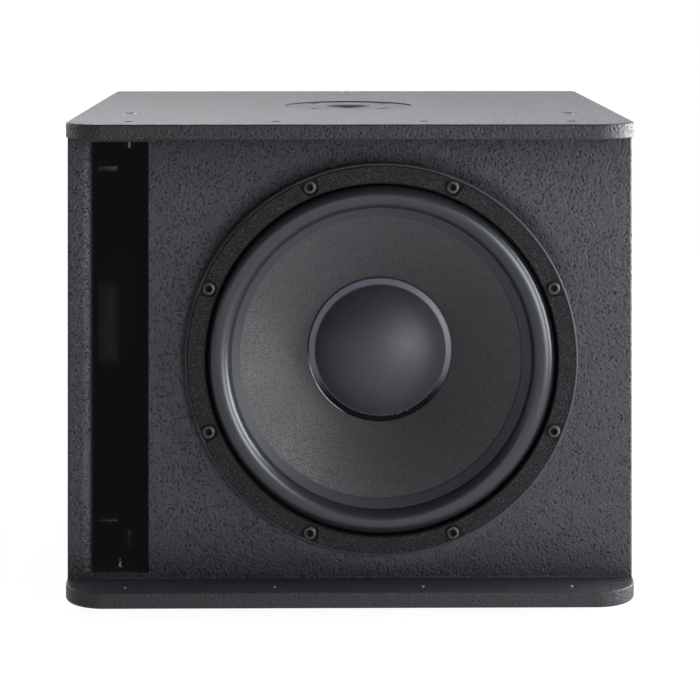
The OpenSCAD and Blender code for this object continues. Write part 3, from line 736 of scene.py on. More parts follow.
def cap_cloth():
    """Cloth-coated paper dome. The lacquered skirt around it is painted grey above and black below: painted
    light above, painted shade below.
    """
    p = Paint("cap_paper")
    foot = GASKET_Y + DOME_FOOT
    below = p.ramp(p.axis(1), (foot - 0.26) * MM, (foot - 0.2) * MM)
    skirt = p.times(p.ring(67.2, 67.5), below)
    fibres = p.noise(900, 4, 0.4, 0.6)
    cloth = weave(p, 1.3 * MM)
    tint = p.mix(p.ramp(fibres, 0.3, 0.7), (0.016, 0.016, 0.020), (0.038, 0.038, 0.048))
    # Painted light and shade: the skirt's colour is grey high on it and black low on it.
    skirt_lit_share = p.ramp(p.from_axis()[1], -52 * MM, -12 * MM)
    lacquer = p.mix(skirt_lit_share, (0.003, 0.003, 0.0035), (0.105, 0.105, 0.134))
    p.colour(p.mix(skirt, tint, lacquer))
    p.set("Roughness", p.ramp(skirt, 0, 1, 0.54, 0.4))
    p.set("Specular Tint", (0.92, 0.9, 1.0))
    p.set("Specular IOR Level", p.ramp(p.times(skirt, p.ramp(skirt_lit_share, 0, 1, 1, 0.3)), 0, 1, 0.85, 0.1))
    relief = p.plus(p.times(cloth, 0.35), fibres)
    p.bump(p.times(relief, p.ramp(skirt, 0, 1, 1, 0.06)), 0.08)
    return p.material


def glue_with_painted_glint():
    """A dark glue line, painted nearly white low on the left: a painted glint."""
    p = Paint("glue_with_painted_glint")
    x, z = p.from_axis()
    # Painted glint: the colour turns nearly white towards the lower left, by position alone.
    thick = p.plus(p.times(x, -0.85), p.times(z, -0.52))
    white = p.times(p.ramp(thick, 62 * MM, 70 * MM), p.ramp(p.noise(260, 3), 0.3, 0.6, 0.4, 1))
    p.colour(p.mix(white, (0.010, 0.010, 0.012), (0.62, 0.62, 0.66)))
    p.set("Roughness", p.ramp(p.noise(300), 0.3, 0.7, 0.15, 0.3))
    p.bump(p.noise(500, 3), 0.05)
    return p.material


def spider_cloth():
    p = Paint("spider_cloth")
    threads = weave(p, 1.2 * MM)
    p.colour(p.mix(p.ramp(threads, -0.8, 0.8), (0.30, 0.19, 0.06), (0.56, 0.41, 0.18)))
    p.set("Roughness", p.ramp(p.noise(200), 0.3, 0.7, 0.45, 0.7))
    p.bump(threads, 0.2)
    return p.material


def wound_copper():
    p = Paint("copper_wire")
    turns = p.math("SINE", p.times(p.axis(1), TURN / (0.5 * MM)))
    p.colour(p.mix(p.noise(90, 3), (0.58, 0.24, 0.10), (0.78, 0.38, 0.2)))
    p.set("Metallic", 1.0)
    p.set("Roughness", p.ramp(p.noise(400), 0.3, 0.7, 0.22, 0.4))
    p.bump(turns, 0.1)
    return p.material


def foam_skin():
    p = Paint("foam")
    pores = p.ramp(p.cells(620), 0.05, 0.5)
    p.colour(p.mix(pores, (0.006, 0.006, 0.0065), (0.034, 0.034, 0.036)))
    p.set("Roughness", 0.95)
    p.set("Sheen Weight", 0.15)
    p.bump(p.plus(pores, p.noise(1400, 3)), 0.6)
    return p.material


PAINT = structured_paint()
FLAT_BLACK = flat_black()
BIRCH = birch()
BLACK_STEEL = grainy("black_steel", (0.016, 0.016, 0.018), (0.026, 0.026, 0.029), (0.4, 0.58), 1300, 0.08,
                     wear=0.25, glow=(1.0, 1.0, 1.3))
BLACK_SCREW = grainy("black_screw", (0.016, 0.016, 0.018), (0.034, 0.034, 0.037), (0.34, 0.52), 900, 0.05,
                     wear=0.35)
CAST = cast_basket()
BOLT = bolt_steel()
GRIP = grainy("grip_rubber", (0.012, 0.012, 0.012), (0.02, 0.02, 0.021), (0.6, 0.82), 1100, 0.14)
RUBBER = grainy("black_rubber", (0.011, 0.011, 0.0115), (0.018, 0.018, 0.019), (0.62, 0.86), 700, 0.1)
PLASTIC = grainy("black_plastic", (0.012, 0.012, 0.013), (0.02, 0.02, 0.022), (0.36, 0.52), 1600, 0.05)
JACKET = grainy("cable_jacket", (0.015, 0.015, 0.016), (0.024, 0.024, 0.026), (0.4, 0.55), 500, 0.06)
FERRITE = grainy("ferrite", (0.03, 0.03, 0.033), (0.055, 0.055, 0.06), (0.5, 0.8), 500, 0.15)
ZINC = brushed("zinc_steel", (0.52, 0.53, 0.56), (0.7, 0.7, 0.71), (0.22, 0.4))
BRASS = brushed("brass_insert", (0.20, 0.145, 0.085), (0.34, 0.26, 0.17), (0.4, 0.6))
INSERT_STEEL = brushed("insert_steel", (0.10, 0.10, 0.11), (0.22, 0.22, 0.23), (0.2, 0.34), glow=(1, 1, 1))
MOTOR_STEEL = brushed("motor_steel", (0.2, 0.2, 0.22), (0.32, 0.32, 0.34), (0.28, 0.5))
FOIL = brushed("former", (0.58, 0.55, 0.46), (0.72, 0.7, 0.62), (0.3, 0.5))
FIBRE = gasket_fibre()
SHEET = rubber_sheet()
PAPER = cone_paper()
CLOTH = cap_cloth()
SPIDER = spider_cloth()
COPPER = wound_copper()
FOAM = foam_skin()
GLUE = glue_with_painted_glint()


# ---------------------------------------------------------------- wooden box

def flat_outline():
    """Plan of the top and bottom: large front corners, small rear ones, extra points beside the baffle."""
    big, small, steps = 41, 8, 20
    plan = rounded([(-SIDE_X, FRONT_Y, big), (SIDE_X, FRONT_Y, big),
                    (SIDE_X, REAR_Y, small), (-SIDE_X, REAR_Y, small)], 0, steps)
    front = 2 * (steps + 1)
    beside = [Vector((SIDE_X, y)) for y in (BAFFLE_Y - 6, BAFFLE_Y - 0.5)]
    mirrored = [Vector((-p.x, p.y)) for p in reversed(beside)]
    return plan[:front] + beside + plan[front:] + mirrored


def joint_softness(p):
    """Radius of the edge next to the body: soft where the panel overhangs, nearly none at the joint."""
    return 1.2 if p[1] < BAFFLE_Y - 3 else 0.2


def insert_cutter():
    return turned([(0, 1), (9.3, 1), (9.05, -2.5), (6.55, -2.5), (6.55, -17), (0, -17)], 0.2, 48, 2)


def panel_insert_cutters(direction):
    return [put(insert_cutter(), x, y, z, d) for x, y, z, d in insert_places() if d == direction]


def top_panel():
    shell = board(flat_outline(), IN_TOP, TOP_Z, joint_softness, SOFT_EDGE * 0.6, 6)
    countersink = turned([(0, 1), (5.9, 1), (5.0, 0), (2.75, -2.25), (2.75, -17), (0, -17)], 0.4, 40, 3)
    recess = turned([(0, 1), (POLE_R + 0.9, 1), (POLE_R + 0.3, -0.3), (POLE_R + 0.3, -6), (16.5, -6),
                     (16.5, -17), (0, -17)], 0.3, 160, 3)
    screw_hole = pin(5.05, -5, -17)
    cutters = in_row(countersink, GRILLE_Y, TOP_Z)
    cutters += panel_insert_cutters((0, 0, 1))
    cutters.append(put(recess, 0, POLE.y, TOP_Z))
    cutters += at_corners(screw_hole, POLE_SCREW, POLE_SCREW, TOP_Z, POLE.y)
    piece("painted_top", carved(shell, *cutters), PAINT, ["top_panel"])


def bottom_panel():
    shell = board(flat_outline(), BASE_Z, IN_BOTTOM, SOFT_EDGE, joint_softness, 6)
    insert_hole = turned([(0, 1), (4.6, 1), (3.95, -0.35), (3.95, -12), (0, -12)], 0.1, 40, 2)
    foot_hole = pin(3.95, 1, -17, 32)
    cutters = in_row(insert_hole, LEDGE_Y, IN_BOTTOM)
    cutters += panel_insert_cutters((0, 0, -1))
    cutters += at_corners(foot_hole, FOOT_X, FOOT_Y, IN_BOTTOM)
    piece("painted_bottom", carved(shell, *cutters), PAINT, ["bottom_panel"])


def side_panels():
    for side, name in ((-1, "left"), (1, "right")):
        outline = rounded([(IN_X, IN_FRONT), (SIDE_X, IN_FRONT), (SIDE_X, REAR_Y, 8), (IN_X, REAR_Y)], 0.2, 6)
        if side < 0:
            outline = [Vector((-p[0], p[1])) for p in reversed(outline)]
        mouth = skin([at_height(rectangle(108.6 + 2 * o, 190.6 + 2 * o, 20.3 + o), z)
                      for o, z in ((0, -17), (0, -0.6), (0.5, 0), (0.5, 1))])
        pilot = pin(2.05, 1, -13, 20)
        cutters = [mouth.moved(on_side(side))]
        cutters += [put(pilot, *place).moved(on_side(side)) for place in handle_screw_places()]
        cutters += panel_insert_cutters((side, 0, 0))
        shell = carved(board(outline, IN_BOTTOM, IN_TOP, 0.15, 0.15, 2), *cutters)
        piece("painted_" + name + "_side", shell, PAINT, [name + "_side_panel"])


def rear_panel():
    outline = rounded([(-IN_X, IN_REAR), (IN_X, IN_REAR), (IN_X, REAR_Y), (-IN_X, REAR_Y)], 0.2, 2)
    shell = board(outline, IN_BOTTOM, IN_TOP, 0.15, 0.15, 2)
    recess = skin([at_height(rectangle(PLATE_W + 0.6 + 2 * o, PLATE_H + 0.6 + 2 * o, 8.3 + o), z)
                   for o, z in ((0, -3.5), (0, 2.7), (0.25, 3.3), (0.8, 3.52), (0.8, 5))])
    window = skin([at_height(rectangle(PLATE_W - 26, PLATE_H - 24, 6), z) for z in (-17, -3)])
    piece("painted_rear", carved(shell, recess.moved(ON_PLATE), window.moved(ON_PLATE)),
          PAINT, ["rear_panel"])


def slot_cutter():
    """The port's mouth: a big round-over on the outer edge and small ones on the others."""
    x1 = WALL_LOW.x
    x0 = x1 - SLOT_W
    z0, z1 = IN_BOTTOM + SLOT_LIP, IN_TOP - SLOT_LIP
    small = 1.4

    def flare(radius, depth):
        d = min(max(depth, 0), radius)
        return radius - math.sqrt(radius ** 2 - (radius - d) ** 2)

    steps = 12
    depths = [-1] + [SLOT_ROUND * (1 - math.cos(math.pi / 2 * k / steps)) for k in range(steps + 1)] + [40]
    rings = []
    for depth in depths:
        left, other = flare(SLOT_ROUND, depth), flare(small, depth)
        outline = rounded([(x0 - left, z0 - other), (x1 + other, z0 - other),
                           (x1 + other, z1 + other), (x0 - left, z1 + other)], 1.5, 4)
        rings.append([(p[0], BAFFLE_Y + depth, p[1]) for p in outline])
    return skin(rings)


def paint_fillet(z, up):
    """A thin uneven bead of paint in the corner between the baffle and a panel."""
    rings = []
    count = 420
    for k in range(count + 1):
        x = -SIDE_X + 1.2 + (2 * SIDE_X - 2.4) * k / count
        r = 1.25 + 0.5 * noise.noise((x * 0.35, z, 0)) + 0.22 * noise.noise((x * 1.3, z, 5))
        arc = [(BAFFLE_Y - r * (1 - math.sin(a)), z + up * r * (1 - math.cos(a)))
               for a in [math.pi / 2 * j / 4 for j in range(5)]]
        hidden = [(BAFFLE_Y + 0.3, z + up * r), (BAFFLE_Y + 0.3, z - up * 0.3), (BAFFLE_Y - r, z - up * 0.3)]
        rings.append([(x, y, h) for y, h in arc + hidden])
    return skin(rings)


def front_baffle():
    outline = rounded([(-SIDE_X, BAFFLE_Y, 2.8), (SIDE_X, BAFFLE_Y, 2.8),
                       (SIDE_X, IN_FRONT), (-SIDE_X, IN_FRONT)], 0.2, 6)
    shell = board(outline, IN_BOTTOM, IN_TOP, 0.12, 0.12, 2)
    opening = pin(178.8, -2, 60, 160).moved(DRIVER)
    bolt_hole = pin(3.95, -2, 60)
    shell = carved(shell, slot_cutter(), opening, around(bolt_hole, BOLT_ANGLES, BOLT_R).moved(DRIVER))
    shell += paint_fillet(IN_BOTTOM, 1) + paint_fillet(IN_TOP, -1)
    piece("painted_baffle", shell, PAINT, ["front_baffle"])


def foam_slab(low, high, axis, thickness):
    """A convoluted foam sheet on the wall at low[axis] or high[axis]; thickness says which way it grows."""
    a, b = [k for k in range(3) if k != axis]
    pitch = 26
    counts = [max(2, round((high[k] - low[k]) / pitch * 6)) for k in (a, b)]
    base = low[axis] if thickness > 0 else high[axis]
    verts = {}
    work = bmesh.new()
    for i in range(counts[0] + 1):
        for j in range(counts[1] + 1):
            p = Vector((0, 0, 0))
            p[a] = low[a] + (high[a] - low[a]) * i / counts[0]
            p[b] = low[b] + (high[b] - low[b]) * j / counts[1]
            wave = math.sin(TURN * p[a] / pitch) * math.sin(TURN * p[b] / pitch)
            for level in (0, 1):
                p[axis] = base + level * thickness * (0.72 + 0.26 * wave)
                verts[i, j, level] = work.verts.new(p)
    for i in range(counts[0]):
        for j in range(counts[1]):
            for level in (0, 1):
                work.faces.new([verts[i, j, level], verts[i + 1, j, level],
                                verts[i + 1, j + 1, level], verts[i, j + 1, level]])
    rims = [[(i, 0) for i in range(counts[0] + 1)], [(i, counts[1]) for i in range(counts[0] + 1)],
            [(0, j) for j in range(counts[1] + 1)], [(counts[0], j) for j in range(counts[1] + 1)]]
    for rim in rims:
        for (i, j), (k, m) in zip(rim, rim[1:]):
            work.faces.new([verts[i, j, 0], verts[k, m, 0], verts[k, m, 1], verts[i, j, 1]])
    work.verts.index_update()
    shell = Shell([v.co.copy() for v in work.verts], [[v.index for v in f.verts] for f in work.faces])
    work.free()
    return shell


def acoustic_foam():
    low, high = box("acoustic_foam")
    brace = box("window_brace")[0].y
    rear = foam_slab((WALL_HIGH.x + 4.5, IN_REAR - 28, IN_BOTTOM + 25),
                     (high.x - 0.5, IN_REAR - 0.2, IN_TOP - 28), 1, -27)
    opening = skin([at_height(rectangle(PLATE_W + 1, PLATE_H + 1, 6), z) for z in (-50, 0)]).moved(ON_PLATE)
    wall = foam_slab((WALL_HIGH.x + 0.1, IN_FRONT + 6, low.z), (WALL_HIGH.x + 22, brace - 8, high.z), 0, 21.5)
    piece("convoluted_foam", carved(rear, opening) + wall, FOAM, ["acoustic_foam"], crease=60)


def wooden_parts_kept():
    finish = {"port_wall": FLAT_BLACK, "window_brace": BIRCH}
    for name, material in finish.items():
        dress(name, material)


def dress(name, material):
    """Gives a carried-over CAD node its material."""
    thing = frame["nodes"][name]
    thing.data.materials.clear()
    thing.data.materials.append(material)


# ---------------------------------------------------------------- fittings

def screw(head_r, head_top, shank_r, length, recess_r, recess_depth, dome=0.4):
    """A screw along +Z with its seat at 0: a domed head with a six-lobed recess, and a plain shank."""
    floor = head_top - recess_depth
    rim = [(head_r * 0.86, head_top - dome * 0.35), (head_r * 0.97, head_top - dome),
           (head_r, head_top - dome - 0.5)]
    return lathe([(0, floor - 0.3), (recess_r * 0.8, floor, recess_r * 0.1),
                  (recess_r, floor + 0.3, recess_r * 0.14), (recess_r, head_top - 0.2, recess_r * 0.14),
                  (recess_r * 1.1, head_top, recess_r * 0.12),
                  (recess_r * 1.25, head_top), *rim, (head_r, 0.15), (head_r - 0.15, 0),
                  (shank_r + 0.3, 0), (shank_r, -0.3), (shank_r, 0.6 - length), (shank_r - 0.6, -length),
                  (0, -length)], 48)


def countersunk(head_r, shank_r, length, recess_r, recess_depth):
    """A flat-topped countersunk screw along +Z, with the top of its head at 0."""
    cone = head_r - shank_r
    return lathe([(0, -recess_depth), (recess_r * 0.85, -recess_depth, recess_r * 0.1),
                  (recess_r, 0.2 - recess_depth, recess_r * 0.13), (recess_r, -0.15, recess_r * 0.13),
                  (recess_r * 1.08, 0, recess_r * 0.12), (head_r - 0.3, 0), (head_r - 0.08, -0.1),
                  (head_r, -0.35), (shank_r, -0.35 - cone), (shank_r, 0.6 - length), (shank_r - 0.6, -length),
                  (0, -length)], 48)


def threaded(bore, pitch, depth):
    """Sharp bore points from the mouth down, with one groove for each turn of the thread."""
    points = []
    for k in range(int((depth - 1) / pitch)):
        z = -1 - pitch * k
        points += [(bore, z - 0.1 * pitch, 0), (bore + 0.28 * pitch, z - 0.45 * pitch, 0),
                   (bore + 0.28 * pitch, z - 0.6 * pitch, 0), (bore, z - 0.95 * pitch, 0)]
    return [*points, (bore, -depth, 0), (0, -depth, 0)]


def pole_flange():
    z = POLE_TOP
    body = turned([(0, -40), (16, -40, 1), (16, -5, 0.5), (POLE_R, -5, 0.4), (POLE_R, 0, 0.8), (25.8, 0, 1.2),
                   (11.5, -3.3, 0.8), (9.4, -3.6, 0.3), *threaded(8.65, 2.5, 36)], 0.4, 160)
    hole = turned([(0, 1), (8.5, 1), (7.5, 0), (4.2, -3.3), (4.2, -8), (0, -8)], 0.1, 40, 2)
    shell = put(carved(body, *at_corners(hole, POLE_SCREW, POLE_SCREW, 0)), 0, POLE.y, z)
    piece("dished_pole_flange", shell, BLACK_STEEL, ["pole_flange"])
    screw_shape = countersunk(7.15, 4, 21.8, 2.75, 2.6)
    screws = at_corners(screw_shape, POLE_SCREW, POLE_SCREW, z - 0.25, POLE.y)
    piece("pole_flange_bolts", joined(screws), BLACK_SCREW, ["pole_flange_screws"])


def t_nut(bore, barrel, flange, length):
    """A flanged nut with its flange below 0 and its barrel upwards."""
    return turned([(bore, -1.5), (flange, -1.5, 0.3), (flange, -0.02, 0.3), (barrel, 0, 0.1),
                   (barrel, length, 0.3), (bore, length, 0.3)], 0.2, 40, 3)


def t_nuts():
    pole = at_corners(t_nut(4.05, 5, 11, 8), POLE_SCREW, POLE_SCREW, IN_TOP, POLE.y)
    piece("pole_t_nuts", joined(pole), ZINC, ["pole_flange_t_nuts"])
    foot_nuts = at_corners(t_nut(3.05, 3.9, 10, 9), FOOT_X, FOOT_Y, IN_BOTTOM, 0, DOWN)
    piece("foot_nuts", joined(foot_nuts), ZINC, ["foot_t_nuts"])
    nut = flipped(t_nut(3.05, 3.9, 6.5, 12), 27)
    piece("basket_nuts", around(nut, BOLT_ANGLES, BOLT_R).moved(DRIVER), ZINC,
          ["driver_t_nuts"])


def inserts():
    profile = [(0, -36), (6.5, -36, 0.6), (6.5, -2.3, 0), (9, -2.3, 0.2), (9, -0.3, 0.5), (5.2, -0.3, 0.3),
               *threaded(4.25, 1.5, 32)]
    insert = turned(profile, 0.3, 40, 3)
    piece("m10_inserts", joined(put(insert, *place) for place in insert_places()),
          INSERT_STEEL, ["rigging_inserts"])
    small = turned([(0, -11.3), (3.9, -11.3, 0.4), (3.9, 0, 0.35), (2.7, 0, 0.3), *threaded(2.1, 0.8, 10.3)],
                   0.3, 40, 3)
    row = joined(in_row(small, LEDGE_Y, IN_BOTTOM - 0.2))
    piece("brass_ledge_inserts", row, BRASS, ["ledge_inserts"])


def handle_screw_places():
    return [(x * 60, y * 98, 0) for x in (-1, 1) for y in (-1, 0, 1)]


def handle_cup():
    """A pressed dish along -Z with a flange on the panel: its inside first, then its outside."""
    def ring(half_x, half_y, radius, z):
        return at_height(rectangle(2 * half_x, 2 * half_y, radius, 8), z)

    inside = [(46, 87, 13, -35.5), (48.8, 89.8, 15.5, -34.6), (50.6, 91.6, 17.5, -31.5),
              (51.6, 92.6, 18, -24), (52, 93, 18.3, -4), (52.5, 93.5, 18.8, -0.6), (53.4, 94.4, 19.6, 1),
              (54.9, 95.9, 21, 1.85),
              (56.5, 97.5, 22, 2), (64.6, 105.6, 14.8, 2), (65.7, 106.7, 15.6, 1.6), (66.2, 107.2, 16, 0.9)]
    outside = [(66.2, 107.2, 16, 0.05), (54, 95, 20, 0.05), (54, 95, 20, -24), (53, 94, 19, -33),
               (50.5, 91.5, 17, -36.6), (46, 87, 13, -37.5)]
    return skin([ring(*r) for r in inside + outside])


def handle_grip():
    """A soft moulded bar along Y with finger ribs in its middle."""
    half = 92.6
    rings = []
    count = 150
    for k in range(count + 1):
        y = -half + 2 * half * k / count
        end = min(1, (half - abs(y)) / 1.2)
        rib = 0.55 * (0.5 + 0.5 * math.cos(TURN * y / 6)) if abs(y) < 66 else 0
        swell = 1.2 * math.cos(math.pi * y / 2 / half) ** 2
        width = 27.4 + swell + rib - 1.2 * (1 - end)
        height = 13.6 + swell + rib - 1.2 * (1 - end)
        rings.append([(p[0], y, p[1]) for p in rectangle(width, height, 6.2, 5)])
    return skin(rings)


def handles():
    hole = pin(2.4, 4, -1)
    cup = carved(handle_cup(), *[put(hole, *place) for place in handle_screw_places()])
    grip = handle_grip()
    small = put(screw(3.8, 1.4, 2, 14, 1.7, 1.0, 0.5), 0, 0, 2)
    for side, name in ((-1, "left"), (1, "right")):
        piece(name + "_handle_dish", cup.moved(on_side(side)), BLACK_STEEL,
              ["handle_cup_" + name])
    grips = joined(put(grip, -s * 18, 0, -11).moved(on_side(s)) for s in (-1, 1))
    piece("ribbed_handle_grips", grips, GRIP, ["handle_grips"], crease=50)
    screws = joined(put(small, *place).moved(on_side(s))
                    for s in (-1, 1) for place in handle_screw_places())
    piece("handle_pan_screws", screws, BLACK_SCREW, ["handle_screws"])


def connector_field():
    plate_holes = [(x * (PLATE_W / 2 - 7), y * (PLATE_H / 2 - 6), 0) for x in (-1, 0, 1) for y in (-1, 1)]
    socket_holes = [(x + s * 9.5, s * 12, 0) for x in (-SOCKET_X, SOCKET_X) for s in (-1, 1)]
    big = turned([(0, 2), (12.4, 2), (12.1, -0.3), (12.1, -5), (0, -5)], 0.1, 72, 2)
    narrow = pin(1.6, 2, -5, 20)
    wide = pin(2, 2, -5, 20)
    cutters = [put(big, x, 0, 0) for x in (-SOCKET_X, SOCKET_X)]
    cutters += [put(narrow, *place) for place in socket_holes]
    cutters += [put(wide, *place) for place in plate_holes]
    plate = carved(board(rectangle(PLATE_W, PLATE_H, 8), -2.5, 0, 0.3, 0.7, 4), *cutters)
    piece("steel_connector_plate", plate.moved(ON_PLATE), BLACK_STEEL, ["connector_plate"])
    window = skin([at_height(rectangle(PLATE_W - 26, PLATE_H - 24, 6), z) for z in (-6, 0)])
    gasket = carved(board(rectangle(PLATE_W, PLATE_H, 8), -3.5, -2.52, 0.2, 0.2, 3), window)
    piece("foam_plate_gasket", gasket.moved(ON_PLATE), RUBBER, ["plate_gasket"])
    outer = screw(3.5, 1.5, 1.75, 9.5, 1.5, 1.0, 0.5)
    inner = put(screw(2.7, 1.2, 1.5, 8, 1.15, 0.8, 0.4), 0, 0, 2)
    for name, shape, places, node in (("plate_pan_screws", outer, plate_holes, "plate_screws"),
                                      ("socket_screws", inner, socket_holes, "connector_screws")):
        shell = joined(put(shape, *place) for place in places)
        piece(name, shell.moved(ON_PLATE), BLACK_SCREW, [node])
    sockets = joined(put(socket(), x, 0, 0) for x in (-SOCKET_X, SOCKET_X))
    piece("round_sockets", sockets.moved(ON_PLATE), PLASTIC, ["speaker_connectors"])


def socket():
    """A round four-pole socket: square flange, deep shell with a key slot, and a hollow slotted core."""
    flange = board(rectangle(SOCKET_W, 31, 3), 0.02, 2, 0.1, 0.6, 4)
    barrel = turned([(0, -24), (11.9, -24, 0.8), (11.9, 1.6), (0, 1.6)], 0.3, 72)
    bore = turned([(0, 5), (11.6, 5), (11.1, 2), (10.6, 1.2), (10.6, -14), (0, -14)], 0.2, 72)
    pins = [put(pin(1.6, 5, -3, 20), s * 9.5, s * 12, 0) for s in (-1, 1)]
    shell = carved(flange, bore, *pins) + carved(barrel, bore)
    core = turned([(4.6, -15), (7.2, -15), (7.2, 0.6, 0.5), (6.4, 0.6, 0.3), (6.1, -0.4, 0.3),
                   (4.9, -0.4, 0.3), (4.6, 0.4, 0.2)], 0.2, 60)
    slot = skin([at_height([(3, -0.9), (9, -0.9), (9, 0.9), (3, 0.9)], z) for z in (-10, 3)])
    quarters = [Matrix.Rotation(math.radians(45 + 90 * k), 4, "Z") for k in range(4)]
    return shell + carved(core, *[slot.moved(turn) for turn in quarters])


def feet():
    foot = turned([(3.3, 10), (19, 10, 0.6), (18.4, 4.5, 6), (17.5, 0, 1.6), (7, 0, 0.6), (7, 5, 0.3),
                   (3.3, 5)], 0.4, 72, 5)
    bolt = screw(5.5, 3.2, 3, 28.8, 2.2, 2.0, 0.3)
    piece("moulded_feet", joined(at_corners(foot, FOOT_X, FOOT_Y, 0)), RUBBER,
          ["rubber_feet"])
    piece("foot_bolts", joined(at_corners(bolt, FOOT_X, FOOT_Y, 5, 0, DOWN)), ZINC,
          ["foot_screws"])


def speaker_cable():
    low, high = box("speaker_cable")
    start = Vector((PLATE.x, high.y - 3.5, PLATE.z))
    stop = Vector((DRIVER_X, low.y + 5, high.z - 4))
    knots = [start, start + Vector((20, -22, -20)), Vector((start.x + 60, IN_REAR - 60, low.z + 5)),
             Vector((start.x + 75, IN_REAR - 165, low.z + 5)), stop + Vector((12, 68, -16)),
             stop + Vector((9, 14, -15)), stop]
    cable = tube(smooth_path(knots, 14), 3.4, 18)
    piece("round_speaker_cable", cable, JACKET, ["speaker_cable"])


# ---------------------------------------------------------------- driver

def basket():
    """Cast basket: a flange with a round rim and a groove beside the gasket, wall, arms and rear ring."""
    rim = [(176, GASKET_T, 0.4), (193.3, GASKET_T, 0), (193.5, 3.0, 0.1), (193.7, 3.0, 0.1),
           (194.1, 2.1, 0.3), (195.2, 2.0, 0.8), (FLANGE_R, 3.8, 1.0), (FLANGE_R, 8, 0.1)]
    outer_wall = [(178.3, 8), (178.3, 14, 2), (174, 18, 3), (124, 92, 4), (118, 94), (118, 112, 1)]
    rear_ring = [(60, 112, 1), (60, 104, 1), (112, 104, 2), (112, 92), (98, 92, 0.6), (98, 88, 0.6)]
    inner_wall = [(119, 88, 3), (168.5, 18, 3), (169.5, 11, 0.5), (175.6, 11, 0.4)]
    body = turned(rim + outer_wall + rear_ring + inner_wall, 0.4, 192)
    bolt_hole = pin(3.3, -1, 9)
    opening = rounded([(105, -22), (172, -42), (172, 42), (105, 22)], 7, 6)
    window = skin([at_height(opening, z) for z in (26, 83)])
    motor_hole = pin(3.2, 103, 115)
    eighths = [TURN * k / 8 for k in range(8)]
    sixths = [TURN * k / 6 for k in range(6)]
    shell = carved(body, around(bolt_hole, BOLT_ANGLES, BOLT_R), around(window, eighths, 0),
                   around(motor_hole, sixths, 80))
    piece("cast_driver_basket", shell.moved(DRIVER), CAST, ["driver_basket"])
    seal = turned([(180, 8.05), (194, 8.05), (194, 8.95), (180, 8.95)], 0.3, 160, 3)
    piece("basket_seal_ring", seal.moved(DRIVER), RUBBER, ["basket_seal"])


def gasket():
    """Pressed-fibre ring with square-cornered notches around the bolts."""
    ring = turned([(177.1, 0, 0.16), (193.1, 0, 0.3), (193.1, GASKET_T), (177.1, GASKET_T)], 0.1, 288, 4)
    outline = rounded([(-8.4, -6.4, 6), (4.2, -9.4, 0.6), (12, -9.9, 0), (12, 9.9, 0), (4.2, 9.4, 0.6),
                       (-8.4, 6.4, 6)], 0, 8)
    notch = skin([at_height(outline, z) for z in (-2, 5)])
    shell = carved(ring, around(notch, BOLT_ANGLES, BOLT_R))
    piece("notched_gasket", shell.moved(DRIVER), FIBRE, ["front_gasket"])


def bolts():
    bolt = flipped(screw(BOLT_HEAD_R, 3.35, 3, 33.9, 2.75, 2.5, 0.9), GASKET_T)
    piece("button_head_bolts", around(bolt, BOLT_ANGLES, BOLT_R).moved(DRIVER), BOLT,
          ["driver_bolts"], crease=40)


def blend_by_radius(thing, share):
    """Takes a piece off its body and bakes its transform into its mesh. share(radius in mm), 0 where it would
    stay with the cabinet and 1 with the cone, is worked out at each vertex but not used.
    """
    thing.parent = None
    if "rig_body" in thing:
        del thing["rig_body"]
    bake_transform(thing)
    for v in thing.data.vertices:
        r = math.hypot(v.co.x / MM - DRIVER_X, v.co.z / MM - DRIVER_Z)
        min(1.0, max(0.0, share(r)))


def surround():
    """Half-round rubber roll. Its outer foot is flat and its inner foot lies on the cone's slope."""
    mid = ROLL_R - ROLL_W / 2
    thick = 1.2

    def arc(radius, first, last, count):
        return [(mid + radius * math.cos(math.radians(first + (last - first) * k / count)),
                 ROLL_FOOT - radius * math.sin(math.radians(first + (last - first) * k / count)), 0)
                for k in range(count + 1)]

    front = [(CONE_R + 0.6, cone_at(CONE_R + 0.6) - 1.3, 0.4), (149.7, cone_at(149.7) - 1.4, 0.3),
             (150.4, cone_at(150.4) - 0.7, 0.2), *arc(ROLL_W / 2, 165, 15, 48),
             (ROLL_R - 0.1, 9.8, 0.9), (175.4, 9.8, 0.3)]
    back = [(175.4, 11, 0.3), (ROLL_R - thick, 11, 0), *arc(ROLL_W / 2 - thick, 8, 168, 40),
            (151.2, cone_at(151.2), 0), (CONE_R + 0.6, cone_at(CONE_R + 0.6), 0.3)]
    thing = piece("rubber_roll_surround", turned(front + back, 0.3, 384, 5).moved(DRIVER), SHEET,
                  ["surround"], body=None, crease=50)
    blend_by_radius(thing, lambda r: smooth(1 - (r - 151.5) / (ROLL_R - 151.5)))


def smooth(t):
    t = min(1.0, max(0.0, t))
    return t * t * (3 - 2 * t)


def cone():
    """Curved paper cone with a straight lip under the surround's foot."""
    steps = 40

    def at(t, lift):
        drop = t + 0.1 * t * (1 - t) * (2 * t - 1)
        return (CONE_R - (CONE_R - COIL_R - 0.2) * t, CONE_TOP + (CONE_NECK - CONE_TOP) * drop + lift, 0)

    lip = 150.8
    front = [at(k / steps, 0.05) for k in range(steps + 1)]
    back = [at(k / steps, 1.15) for k in range(steps, -1, -1)]
    profile = [(lip, cone_at(lip) + 0.05, 0.2), *front, *back, (lip, cone_at(lip) + 1.15, 0.3)]
    piece("pressed_paper_cone", turned(profile, 0.3, 256, 4).moved(DRIVER), PAPER, ["cone"],
          body="cone_assembly", crease=40)


